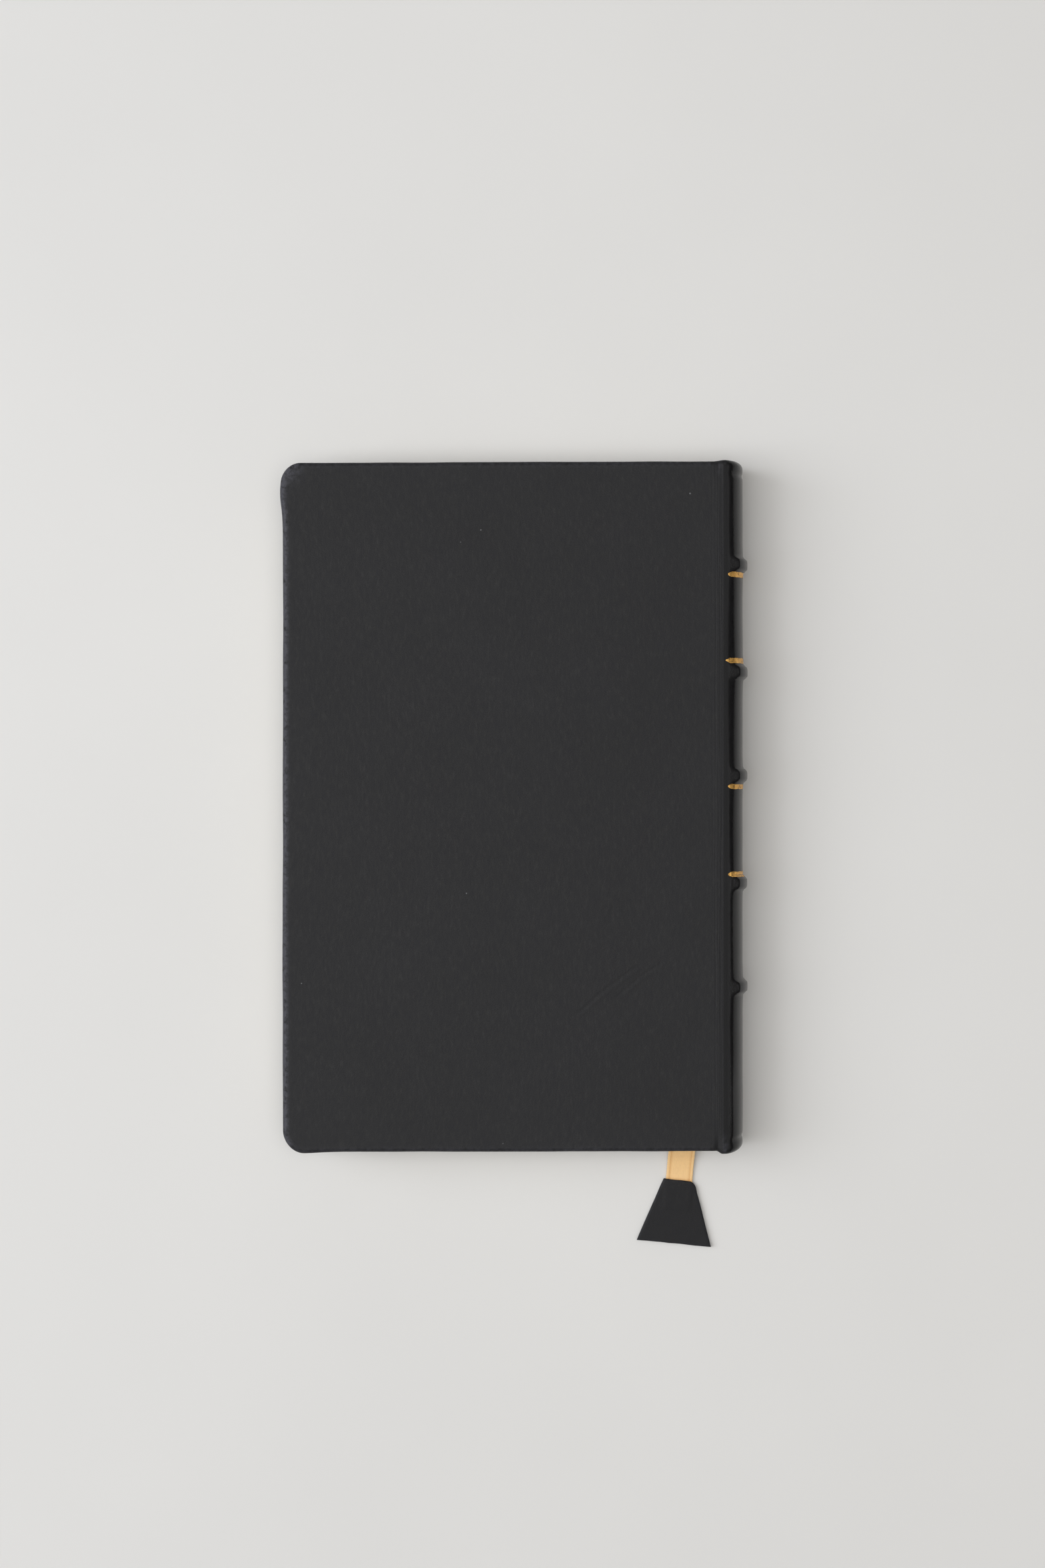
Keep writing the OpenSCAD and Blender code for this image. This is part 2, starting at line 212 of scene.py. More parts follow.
class PrayerBookColours(PropertyGroup):
    """Colours of the leather, gold, ribbon, paper and silks."""

    leather: FloatVectorProperty(
        name="Leather", description="Colour of the covering leather",
        default=(0.0062, 0.0062, 0.0076), size=3, min=0, max=1, subtype="COLOR",
    )
    gold: FloatVectorProperty(
        name="Gold", description="Colour of the gold lines",
        default=(0.78, 0.44, 0.12), size=3, min=0, max=1, subtype="COLOR",
    )
    ribbon: FloatVectorProperty(
        name="Ribbon", description="Colour of the ribbon marker",
        default=(0.98, 0.645, 0.31), size=3, min=0, max=1, subtype="COLOR",
    )
    paper: FloatVectorProperty(
        name="Paper", description="Colour of the text block's paper",
        default=(0.72, 0.65, 0.5), size=3, min=0, max=1, subtype="COLOR",
    )
    endpaper: FloatVectorProperty(
        name="Endpaper", description="Colour of the endpapers",
        default=(0.78, 0.73, 0.6), size=3, min=0, max=1, subtype="COLOR",
    )
    silk: FloatVectorProperty(
        name="Silk", description="Lighter colour of the headbands' silk",
        default=(0.6, 0.33, 0.07), size=3, min=0, max=1, subtype="COLOR",
    )


class PrayerBookStage(PropertyGroup):
    """Camera, lights and floor."""

    camera_height: FloatProperty(
        name="Camera Height", description="Height of the camera above the table",
        default=1.0, min=0.3, max=3, unit="LENGTH", subtype="DISTANCE",
    )
    lens: FloatProperty(
        name="Lens", description="Focal length of the camera, in millimetres", default=76.5, min=20, max=200,
    )
    key_strength: FloatProperty(
        name="Key Strength", description="Strength of the broad soft light", default=1.70, min=0, max=20,
    )
    key_spread: FloatProperty(
        name="Key Spread", description="Angle over which the broad light spreads",
        default=math.radians(34), min=0, max=math.pi, subtype="ANGLE",
    )
    side_power: FloatProperty(
        name="Side Power", description="Power of the lamp on the fore-edge side",
        default=4.75, min=0, unit="POWER",
    )
    fill: FloatProperty(
        name="Fill", description="Strength of the surrounding light", default=0.42, min=0, max=3,
    )
    floor: FloatVectorProperty(
        name="Floor", description="Colour of the floor",
        default=(0.78, 0.775, 0.765), size=3, min=0, max=1, subtype="COLOR",
    )


# ---- Shapes ----

def ease(values):
    """Smooth step from 0 to 1."""
    t = np.clip(values, 0, 1)
    return t * t * (3 - 2 * t)


def hump(values, width):
    """Smooth hump of height 1 at 0."""
    return np.exp(-(np.asarray(values, float) / width) ** 2)


def wander(values, seed):
    """Slow drift between about -1 and 1 along a line, the same at every run."""
    phases = np.random.default_rng(seed).uniform(0, 2 * math.pi, 5)
    values = np.asarray(values, float)
    return sum(np.sin(values * (k + 0.6) + phases[k]) / (k + 1.4) for k in range(5)) / 1.5


def arc_radius(half_chord, rise):
    """Radius of the arc over a chord."""
    return (half_chord ** 2 + rise ** 2) / (2 * rise)


def stations(*stops):
    """Places along a line: a start, then pairs of an end and the step up to it."""
    places = [stops[0]]
    for end, step in zip(stops[1::2], stops[2::2]):
        count = max(1, round(abs(end - places[-1]) / step))
        places += list(np.linspace(places[-1], end, count + 1)[1:])
    return np.array(places)


def grid_faces(rows, columns):
    """Faces of a grid whose points run column by column inside each row."""
    first = np.arange((rows - 1) * columns).reshape(rows - 1, columns)[:, :-1].ravel()
    return np.stack([first, first + columns, first + columns + 1, first + 1], axis=1)


def grid_normals(points, faces):
    """Normals of a sheet's points."""
    turned = np.cross(points[faces[:, 2]] - points[faces[:, 0]], points[faces[:, 3]] - points[faces[:, 1]])
    normals = np.zeros_like(points)
    for corner in range(4):
        np.add.at(normals, faces[:, corner], turned)
    return normals / np.maximum(np.linalg.norm(normals, axis=1, keepdims=True), 1e-12)


def thickened(points, faces, thickness):
    """Closed shell from a sheet and its thickness at each point, measured inwards."""
    count = len(points)
    inner = points - grid_normals(points, faces) * np.broadcast_to(thickness, (count,))[:, None]
    starts = faces.ravel()
    ends = np.roll(faces, -1, axis=1).ravel()
    known = set(zip(starts.tolist(), ends.tolist()))
    rim = [(b, a, a + count, b + count) for a, b in known if (b, a) not in known]
    rim.sort()
    return np.concatenate([points, inner]), np.concatenate([faces, faces[:, ::-1] + count, np.array(rim)])


def used_only(points, faces, *others):
    """Drops the points that no face uses, and the same rows of other arrays."""
    used = np.unique(faces)
    place = np.zeros(len(points), int)
    place[used] = np.arange(len(used))
    return points[used], place[faces], *[other[used] for other in others]


def add_piece(name, points, faces, finishes, sharp=40, wear_and_painted_light=None, finish_index=None):
    """Smooth-shaded mesh object from points in millimetres and the names of its finishes."""
    mesh = bpy.data.meshes.new(name)
    if isinstance(faces, np.ndarray):
        faces = faces.tolist()
    mesh.from_pydata((points * MM).tolist(), [], faces)
    for finish_name in finishes:
        mesh.materials.append(finish(finish_name))
    if finish_index is not None:
        mesh.polygons.foreach_set("material_index", np.asarray(finish_index, np.int32))
    if wear_and_painted_light is not None:
        attribute = mesh.attributes.new("edge_wear_and_painted_light", "FLOAT", "POINT")
        attribute.data.foreach_set("value", np.asarray(wear_and_painted_light, np.float32))
    mesh.shade_smooth()
    mesh.set_sharp_from_angle(angle=math.radians(sharp))
    piece = bpy.data.objects.new(name, mesh)
    bpy.context.scene.collection.objects.link(piece)
    return piece


# ---- Finishes ----

class NodeWork:
    """Adds nodes to one node tree and joins them."""

    def __init__(self, tree):
        self.nodes = tree.nodes
        self.links = tree.links

    def join(self, socket, value):
        """Joins a socket to another, or sets it to a plain value."""
        if isinstance(value, bpy.types.NodeSocket):
            self.links.new(value, socket)
        else:
            socket.default_value = value

    def fill(self, node, inputs):
        """Joins or sets the named inputs of a node."""
        for name, value in inputs.items():
            self.join(node.inputs[name], value)

    def add(self, kind, inputs):
        """New node with its named inputs joined or set."""
        node = self.nodes.new(f"ShaderNode{kind}")
        self.fill(node, inputs)
        return node

    def place(self, stretch=(1, 1, 1)):
        """Object coordinates, stretched along the axes."""
        coordinates = self.add("TexCoord", {})
        mapping = self.add("Mapping", {"Scale": stretch, "Vector": coordinates.outputs["Object"]})
        return mapping.outputs["Vector"]

    def noise(self, where, scale, detail=3, roughness=0.55):
        """Noise texture whose scale is in cycles per metre."""
        texture = self.add("TexNoise", {
            "Vector": where, "Scale": scale, "Detail": detail, "Roughness": roughness,
        })
        return texture.outputs["Fac"]

    def pebbles(self, where, scale):
        """Cells of leather grain."""
        texture = self.add("TexVoronoi", {"Vector": where, "Scale": scale})
        texture.feature = "SMOOTH_F1"
        texture.inputs["Smoothness"].default_value = 0.6
        return texture.outputs["Distance"]

    def edge_wear_and_painted_light(self):
        """Wear and painted light that a piece's mesh holds at its points."""
        node = self.add("Attribute", {})
        node.attribute_name = "edge_wear_and_painted_light"
        return node.outputs["Fac"]

    def ramp(self, value, *stops):
        """Colour ramp from pairs of position and colour."""
        node = self.add("ValToRGB", {"Fac": value})
        elements = node.color_ramp.elements
        while len(elements) < len(stops):
            elements.new(0.5)
        for element, (position, colour) in zip(elements, stops):
            element.position = position
            element.color = (*colour, 1)
        return node.outputs["Color"]

    def mixed(self, factor, under, over):
        """Mix of the colour under, a socket, and a plain colour over it."""
        node = self.nodes.new("ShaderNodeMix")
        node.data_type = "RGBA"
        colours = [socket for socket in node.inputs if socket.type == "RGBA"]
        self.join(node.inputs[0], factor)
        self.join(colours[0], under)
        self.join(colours[1], (*over, 1))
        return next(socket for socket in node.outputs if socket.type == "RGBA")

    def in_range(self, value, start, end, to_low=0.0, to_high=1.0):
        """Value moved from one range to another, and held inside it."""
        node = self.add("MapRange", {
            "Value": value, "From Min": start, "From Max": end, "To Min": to_low, "To Max": to_high,
        })
        return node.outputs["Result"]

    def worked_out(self, operation, first, second):
        """Result of a sum on two sockets."""
        node = self.nodes.new("ShaderNodeMath")
        node.operation = operation
        self.join(node.inputs[0], first)
        self.join(node.inputs[1], second)
        return node.outputs["Value"]

    def bump(self, height, strength, distance, under=None):
        """Bump over an earlier bump's normal, its distance in millimetres."""
        node = self.add("Bump", {"Height": height, "Strength": strength, "Distance": distance * MM})
        if under is not None:
            self.join(node.inputs["Normal"], under)
        return node.outputs["Normal"]


class Finish(NodeWork):
    """A material in the making, with the values that are the same all over it."""

    def __init__(self, name, colour, roughness, specular=0.5):
        self.material = bpy.data.materials.new(name)
        self.material.use_nodes = True
        super().__init__(self.material.node_tree)
        self.shader = self.nodes["Principled BSDF"]
        self.fill(self.shader, {
            "Base Color": (*colour, 1), "Roughness": roughness, "Specular IOR Level": specular,
        })

    def done(self, inputs):
        """The material, with the shader's named inputs joined or set."""
        self.fill(self.shader, inputs)
        return self.material


def scaled(colour, factor):
    """Lighter or darker colour."""
    return tuple(min(1.0, channel * factor) for channel in colour)


def leather_finish(name, colour, roughness, specular, grain, specks, polished=None):
    """Fine-grained black leather, worn along its edges and lightened there by painted highlights, faintly
    streaked and polished past the crest.
    """
    work = Finish(name, colour, roughness, specular)
    flat = work.place()
    streaks = work.place((1, 0.3, 1))
    cloud = work.noise(flat, 38, 2)
    tone = work.ramp(cloud, (0.3, scaled(colour, 0.86)), (0.7, scaled(colour, 1.14)))
    streak = work.noise(streaks, 1300, 4, 0.6)
    tone = work.mixed(work.in_range(streak, 0.42, 0.75, 0.0, 0.6), tone, scaled(colour, 2.6))
    scuffs = work.in_range(work.noise(flat, 700, 4, 0.7), 0.35, 0.65)
    wear_and_painted_light = work.worked_out("MULTIPLY", work.edge_wear_and_painted_light(), scuffs)
    # Worn edges, and the painted highlights held with the wear, are lighter
    tone = work.mixed(wear_and_painted_light, tone, scaled(colour, 8.5))
    dust = work.add("TexVoronoi", {"Vector": flat, "Scale": specks})
    tone = work.mixed(work.in_range(dust.outputs["Distance"], 0.022, 0.012), tone, (0.13, 0.135, 0.14))
    gloss = work.in_range(streak, 0.3, 0.7, roughness - 0.06, roughness + 0.08)
    if polished is not None:
        split = work.add("SeparateXYZ", {"Vector": flat})
        rub = work.in_range(
            split.outputs["X"], (CREST_X + 0.1) * MM, (CREST_X + 1.2) * MM, 1.0, polished
        )
        gloss = work.worked_out("MULTIPLY", gloss, rub)
    normal = work.bump(work.pebbles(flat, 2100), 0.5 * grain, 0.05)
    normal = work.bump(work.noise(flat, 5200, 3, 0.6), 0.4 * grain, 0.03, normal)
    normal = work.bump(work.noise(streaks, 700, 3), 0.35, 0.07, normal)
    return work.done({"Base Color": tone, "Roughness": gloss, "Normal": normal})


def fibre_finish(name, colour, roughness, stretch, scale, relief, darker=0.7, sheen=0.0):
    """Fibrous stuff such as paper, board, cord or silk: fibres lie along the least stretched axis."""
    work = Finish(name, colour, roughness, 0.3)
    fibres = work.noise(work.place(stretch), scale, 4, 0.6)
    tone = work.ramp(fibres, (0.3, scaled(colour, darker)), (0.7, scaled(colour, 1.08)))
    stains = work.in_range(work.noise(work.place(), 24, 3), 0.4, 0.8, 0.0, 0.35)
    return work.done({
        "Base Color": work.mixed(stains, tone, (0.5, 0.36, 0.2)),
        "Normal": work.bump(fibres, 0.6, relief),
        "Sheen Weight": sheen,
    })


def gold_finish(name, colour, leather):
    """Worn gold leaf, rubbed through to the leather in places."""
    work = Finish(name, colour, 0.42)
    flat = work.place()
    rubbed = work.noise(flat, 950, 4, 0.7)
    tone = work.ramp(rubbed, (0.36, scaled(colour, 0.42)), (0.5, colour), (0.7, scaled(colour, 1.3)))
    bare = work.in_range(work.noise(flat, 1000, 5, 0.75), 0.37, 0.31)
    return work.done({
        "Base Color": work.mixed(bare, tone, leather),
        "Metallic": work.in_range(bare, 0.0, 1.0, 0.75, 0.0),
        "Normal": work.bump(rubbed, 0.5, 0.03),
    })


def ribbon_finish(name, colour):
    """Satin ribbon with fine ribs, a darker line inside each selvedge and a painted shade where it goes
    under the tab.
    """
    work = Finish(name, colour, 0.55, 0.35)
    ribs = work.add("TexWave", {"Vector": work.place(), "Scale": 760, "Distortion": 1.2, "Detail": 2})
    ribs.bands_direction = "Y"
    rib = ribs.outputs["Fac"]
    threads = work.noise(work.place((1, 0.2, 1)), 3600, 3, 0.6)
    tone = work.ramp(threads, (0.3, scaled(colour, 0.93)), (0.7, scaled(colour, 1.04)))
    tone = work.mixed(work.in_range(rib, 0.0, 1.0, 0.0, 0.1), tone, scaled(colour, 0.6))
    # The lines inside the selvedges, and the painted shade where the ribbon goes under the tab, are darker
    tone = work.mixed(work.edge_wear_and_painted_light(), tone, (0.62, 0.27, 0.06))
    return work.done({
        "Base Color": tone,
        "Normal": work.bump(threads, 0.3, 0.03, work.bump(rib, 0.35, 0.04)),
        "Sheen Weight": 0.25,
        "Sheen Roughness": 0.4,
    })


def floor_finish(name, colour):
    """Plain pale floor with the faintest tone in it."""
    work = Finish(name, colour, 0.8, 0.2)
    cloud = work.noise(work.place(), 7, 3)
    tone = work.ramp(cloud, (0.3, scaled(colour, 0.985)), (0.7, scaled(colour, 1.015)))
    return work.done({"Base Color": tone})


def finish(name):
    """The named finish, made when it is first asked for."""
    if name in bpy.data.materials:
        return bpy.data.materials[name]
    colours = bpy.context.scene.prayer_book_colours
    leather = tuple(colours.leather)
    dark_silk = (0.03, 0.026, 0.024)
    makers = {
        "cover_leather": (leather_finish, leather, 0.62, 0.36, 1.0, 75),
        "spine_leather": (leather_finish, scaled(leather, 0.65), 0.6, 0.32, 0.6, 60, 0.38),
        "tab_leather": (leather_finish, leather, 0.66, 0.34, 1.1, 160),
        "gold_leaf": (gold_finish, tuple(colours.gold), leather),
        "ribbon_satin": (ribbon_finish, tuple(colours.ribbon)),
        "text_paper": (fibre_finish, tuple(colours.paper), 0.85, (1, 1, 6), 900, 0.02, 0.82),
        "endpaper": (fibre_finish, tuple(colours.endpaper), 0.85, (1, 0.4, 1), 1400, 0.015, 0.9),
        "binders_board": (fibre_finish, (0.32, 0.27, 0.2), 0.9, (1, 1, 3), 900, 0.06),
        "fill_card": (fibre_finish, (0.62, 0.57, 0.47), 0.9, (1, 1, 1), 1200, 0.03),
        "sewing_cord": (fibre_finish, (0.5, 0.42, 0.28), 0.9, (1, 4, 1), 1500, 0.1),
        "spine_lining": (fibre_finish, (0.55, 0.49, 0.36), 0.9, (1, 1, 1), 1600, 0.05),
        "linen_thread": (fibre_finish, (0.66, 0.61, 0.48), 0.8, (1, 5, 1), 2500, 0.05),
        "light_silk": (fibre_finish, tuple(colours.silk), 0.4, (1, 6, 1), 3000, 0.03, 0.8, 0.3),
        "dark_silk": (fibre_finish, dark_silk, 0.4, (1, 6, 1), 3000, 0.03, 0.8, 0.3),
        "floor": (floor_finish, tuple(bpy.context.scene.prayer_book_stage.floor)),
    }
    maker, *settings = makers[name]
    return maker(name, *settings)


def give_finish(names, finish_name):
    """Gives frame nodes a finish in place of their plain one."""
    for name in names:
        mesh = frame["nodes"][name].data
        mesh.materials.clear()
        mesh.materials.append(finish(finish_name))


# ---- Leather of the covers ----

# Radius of the leather's rim under a board, and thickness of its turn-ins
UNDER_ROUND = 0.5
TURN_IN_T = 0.36
# How far in from an edge the boards' crookedness is still seen
HAND_REACH = 14
# Fine ridges along a joint: place across the book and depth
JOINT_RIDGES = ((57.6, 0.03), (58.5, 0.06), (59.3, 0.05), (59.9, 0.06), (60.4, 0.05))
# Painted highlights at a joint's ends: place, spread across and along the book, and strength
JOINT_END_HIGHLIGHTS = ((61.3, -99.2, 0.8, 2.4, 0.9), (59.6, 99.6, 0.9, 1.6, 0.35))
# Creases in the upper cover: two ends, width, and share of the crease depth
CREASES = (
    ((16.7, -61.9), (37.0, -45.9), 0.42, 1.0),
    ((28.2, -57.0), (44.1, -44.9), 0.4, 0.8),
    ((28.4, -27.1), (26.9, -32.0), 0.4, 0.6),
)


def edge_section(edge_round, depth, turn_in):
    """Section of the leather round a board's edge: distance in, inset and drop, from the turn-in up."""
    under = UNDER_ROUND
    quarter = np.radians(np.linspace(0, 90, 7))
    line = [(edge_round * (1 - math.sin(a)), edge_round * (1 - math.cos(a))) for a in quarter]
    line += [(0, edge_round + (depth - edge_round - under) / 2)]
    line += [(under * (1 - math.cos(a)), depth - under * (1 - math.sin(a))) for a in quarter[::2]]
    line += [(inset, depth) for inset in (1.2, 2.5, 4.5, 7, 9.5, turn_in)]
    line = np.array(line)
    steps = np.linalg.norm(np.diff(line, axis=0), axis=1)
    distance = edge_round - np.concatenate([[0], np.cumsum(steps)])
    return distance[::-1], line[::-1, 0], line[::-1, 1]


def round_corner(a, b, corner, section, reach_a, reach_b):
    """Places of a grid's points over a cover with one rounded corner: distances in from two edges."""
    distance, insets, drops = section
    near = np.minimum(a, b)
    far = np.maximum(a, b)
    inset = np.where(near > distance[-1], near, np.interp(near, distance, insets))
    drop = np.interp(near, distance, drops)
    centre = np.where(near > 0, corner, np.maximum(corner, inset + 0.05))
    share = np.clip((far - near) / np.maximum(corner - near, 1e-6), 0, 1)
    angle = np.radians(45) * (1 - share)
    reach = np.where(a < b, reach_b, reach_a)
    straight = centre + (far - corner) * (reach - centre) / (reach - corner)
    straight = np.where(near > 0, far, straight)
    in_corner = far < corner
    place_near = np.where(in_corner, centre - (centre - inset) * np.cos(angle), inset)
    place_far = np.where(in_corner, centre - (centre - inset) * np.sin(angle), straight)
    across = np.where(a < b, place_near, place_far)
    along = np.where(a < b, place_far, place_near)
    return across, along, drop


def crease(x, y, start, end, width, depth):
    """Valley with a low lip along a slightly bowed line."""
    run = np.array(end) - np.array(start)
    length = np.linalg.norm(run)
    run = run / length
    along = (x - start[0]) * run[0] + (y - start[1]) * run[1]
    off = (x - start[0]) * run[1] - (y - start[1]) * run[0]
    off = off + 0.6 * np.sin(np.clip(along / length, 0, 1) * math.pi) + 0.15 * wander(along * 0.9, 8)
    fade = ease(along / 3) * ease((length - along) / 3)
    return depth * fade * (hump(off, width) - 0.7 * hump(off - 1.7 * width, width))


def joint_slope(x):
    """Depth at which the joint runs down from the cover's face to the spine."""
    bend = SEAM_X - JOINT_X
    run = np.clip(x - JOINT_X, 0, bend)
    return JOINT_SLOPE * (run ** 2 / (2 * bend) + np.maximum(x - SEAM_X, 0))


def joint_drop(x, y, depth):
    """Depth of the joint's shallow groove and its fine ridges below the cover's face."""
    drop = joint_slope(x) + depth * hump(x - 60.1 - 0.12 * wander(y * 0.05, 3), 0.7)
    for seed, (line, ridge) in enumerate(JOINT_RIDGES):
        strength = 0.6 + 0.6 * wander(y * 0.11, 20 + seed)
        drop = drop + ridge * strength * hump(x - line - 0.18 * wander(y * 0.07, 30 + seed), 0.16)
    return drop


def joint_end_highlight(points):
    """Painted highlight at the ends of a joint, strongest at the tail."""
    return sum(
        strength * hump(points[:, 0] - x, across) * hump(points[:, 1] - y, along)
        for x, y, across, along, strength in JOINT_END_HIGHLIGHTS
    )


def cover_leather_mesh(sizes, side):
    """Skin of one cover with its turn-ins and its half of the joint."""
    edge_round = sizes.edge_round / MM
    section = edge_section(edge_round, COVER_T, TURN_IN_W)
    edge = section[0]
    end = SEAM_X + 0.8 - FORE_X
    # The grid is fine where the upper cover is creased, and at the joint
    fine = 0.4 if side > 0 else 1.6
    a = np.concatenate([
        edge, stations(edge_round, 9, 0.8, 78, 1.7, 116, fine, 124.5, 0.9, end, 0.16)[1:],
    ])
    head = np.concatenate([edge, stations(edge_round, 9, 0.8, HALF_H, 1.7)[1:-1]])
    tail = np.concatenate([edge, stations(edge_round, 9, 0.8, 35, 1.7, 78, fine, HALF_H, 1.7)[1:]])
    b = np.concatenate([head, tail[::-1]])
    grid_a, grid_b = np.meshgrid(a, b)
    is_head = np.broadcast_to((np.arange(len(b)) < len(head))[:, None], grid_a.shape)
    corner = np.where(is_head, sizes.head_corner / MM, sizes.tail_corner / MM)
    in_x, in_y, drop = round_corner(grid_a, grid_b, corner, section, end, HALF_H)
    sign = np.where(is_head, 1.0, -1.0)
    x = FORE_X + in_x
    y = sign * (HALF_H - in_y)
    # Handwork: the boards' edges aren't quite straight, and the leather swells at the joint's ends
    near_fore = np.clip(1 - in_x / HAND_REACH, 0, 1) ** 2
    near_end = np.clip(1 - in_y / HAND_REACH, 0, 1) ** 2
    drift = x / -FORE_X
    x = x - near_fore * (0.75 * hump(y - 92.5, 5.5) + 0.12 * wander(y * 0.06, 1))
    lift = np.where(is_head, 0.22 + 0.28 * drift, -0.12 * drift)
    lift = lift + 0.4 * hump(x + 63, 7) * np.where(is_head, 0.2, 1.2) + 0.07 * wander(x * 0.09, 2)
    swell = np.where(is_head, 0.42 * ease((x - 57.5) / 4), 0.85 * ease((x - 58.7) / 1.9))
    y = y + sign * near_end * (lift + swell)
    depth = joint_drop(x, y, sizes.joint_depth / MM)
    if side > 0:
        for crease_start, crease_end, width, share in CREASES:
            deep = share * (sizes.crease_depth / MM)
            depth = depth + crease(x, y, crease_start, crease_end, width, deep)
    depth = depth + 0.035 * wander(x * 0.06 + y * 0.02, 5) + 0.03 * wander(y * 0.05 - x * 0.03, 6)
    if side < 0:
        # The lower face is pressed flat by the table
        depth = np.maximum(depth, 0)
    notch = hump(x - 59.3, 0.9) * near_end ** 2 * np.where(is_head, 0.25, 0.6)
    wall_top = edge_round + 0.01
    z = TOP - drop - np.where(drop > wall_top, 0, depth + notch)
    points = np.stack([x, y, z], axis=-1).reshape(-1, 3)
    faces = grid_faces(len(b), len(a))
    drops = drop.ravel()
    # Past the board the joint is one layer: it has no walls and no turn-ins
    beyond_board = (points[faces][:, :, 0].mean(axis=1) > BOARD_X) & (drops[faces].max(axis=1) > wall_top)
    faces = faces[~beyond_board]
    edge_lit = hump(np.minimum(grid_a, grid_b) - 0.2 * edge_round, 1.0).ravel()
    from_fore = points[:, 0] - FORE_X
    # Wear along every edge, with a painted highlight on the fore-edge's bevel and at the joint's ends
    fore = hump(np.maximum(from_fore - 1.2, 0), 1.4)
    wear_and_painted_light = (0.5 + 2.0 * fore) * edge_lit * np.where(points[:, 0] < 57, 1, 0.2) + joint_end_highlight(points)
    # A painted highlight on the rounded corner at the head of the fore-edge
    wear_and_painted_light = wear_and_painted_light + 1.8 * hump(from_fore - 1.0, 3.4) * hump(points[:, 1] - HALF_H + 1.5, 3.6)
    thickness = np.where(drops > COVER_T / 2, TURN_IN_T, LEATHER_T - 0.06)
    points, faces, thickness, wear_and_painted_light = used_only(points, faces, thickness, wear_and_painted_light)
    if side < 0:
        points[:, 2] = TOP - points[:, 2]
        faces = faces[:, ::-1]
    points, faces = thickened(points, faces, thickness)
    return points, faces, np.concatenate([wear_and_painted_light, wear_and_painted_light * 0])


class PRAYER_BOOK_OT_cover_leather(Operator):
    """Cover the boards with leather"""

    bl_idname = "prayer_book.cover_leather"
    bl_label = "Cover Leather"

    def execute(self, context):
        sizes = context.scene.prayer_book_sizes
        for side, name in ((1, "upper"), (-1, "lower")):
            points, faces, wear_and_painted_light = cover_leather_mesh(sizes, side)
            piece = add_piece(
                f"{name}_cover_leather", points, faces, ["cover_leather"], 60, wear_and_painted_light
            )
            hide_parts(f"{name}_leather")
            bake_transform(piece)
        return {"FINISHED"}


# ---- Spine ----

# The spine's left edge wanders: place along the spine, length and amount
SPINE_SWAYS = ((-38, 20, 0.12), (-86, 14, 0.22), (40, 26, -0.14))
# Height of the crest, and slope of the bands' tops once they are past it
CREST_Z = TOP - joint_slope(CREST_X) + SKIN_STEP
BAND_SLOPE = 0.2


def spine_rise(y, band_width):
    """Height of the raised bands above the spine, from 0 to 1."""
    rise = np.zeros_like(y)
    for band in BAND_YS:
        off = np.abs(y - band)
        ridge = 1 - ease((off - band_width / 2 + 1.45) / 1.5)
        rise = np.maximum(rise, 0.86 * ridge + 0.14 * hump(off, 0.8 * band_width))
    return rise


def spine_outline(turn):
    """Section of the rounded spine: points and outward directions for turns from -1 to 1, head side up."""
    lead = 0.05
    reach = math.atan(SPINE_ROUND / JOINT_SLOPE)
    angle = reach * np.clip(turn / (1 - lead), -1, 1)
    flat = np.clip((np.abs(turn) - (1 - lead)) / lead, 0, 1)
    height = (CREST_Z - MID_Z) / math.sin(reach)
    width = height / SPINE_ROUND
    left = SPINE_X - width
    lead_run = left + width * math.cos(reach) - SEAM_X
    x = left + width * np.cos(angle) - lead_run * flat
    z = MID_Z + height * np.sin(angle) + JOINT_SLOPE * lead_run * flat * np.sign(turn)
    direction = np.stack([np.cos(angle) / width, np.sin(angle) / height], axis=-1)
    direction = direction / np.linalg.norm(direction, axis=-1, keepdims=True)
    return x, z, direction


def spine_points(turn, y, inward, band_width):
    """Points on the spine leather for turns round it and places along it."""
    x, z, direction = spine_outline(turn)
    shoulder = ease((1 - np.abs(turn)) / 0.36)
    rise = BAND_RISE * spine_rise(y, band_width) * shoulder
    rise = rise + 0.07 * wander(y * 0.09 + turn, 9) * shoulder
    # The leather is drawn in below the caps
    pinch = 0.32 * hump(np.abs(y) - (CAP_Y - 3.9), 0.75) * shoulder
    sway = sum(amount * hump(y - place, length) for place, length, amount in SPINE_SWAYS)
    out = rise - pinch + sway * hump(np.abs(turn) - 0.82, 0.12)
    # The bands run level with the joint before they turn down
    x = x + direction[..., 0] * out
    ceiling = CREST_Z + JOINT_SLOPE * np.clip(CREST_X - x, 0, 2) - BAND_SLOPE * np.maximum(x - CREST_X, 0)
    z = np.clip(z + direction[..., 1] * out, TOP - ceiling, ceiling)
    x = x - direction[..., 0] * inward
    z = z - direction[..., 1] * inward
    # The caps are set back, the tail's more, and rounded off towards the middle of the spine
    near_end = ease((np.abs(y) - 88) / 12)
    set_back = np.where(y > 0, 0.45 + 0.3 * hump(turn, 0.45), 0.5 + 1.0 * hump(turn, 0.55))
    y = y - np.sign(y) * set_back * near_end
    return np.stack([x, y, z], axis=-1)


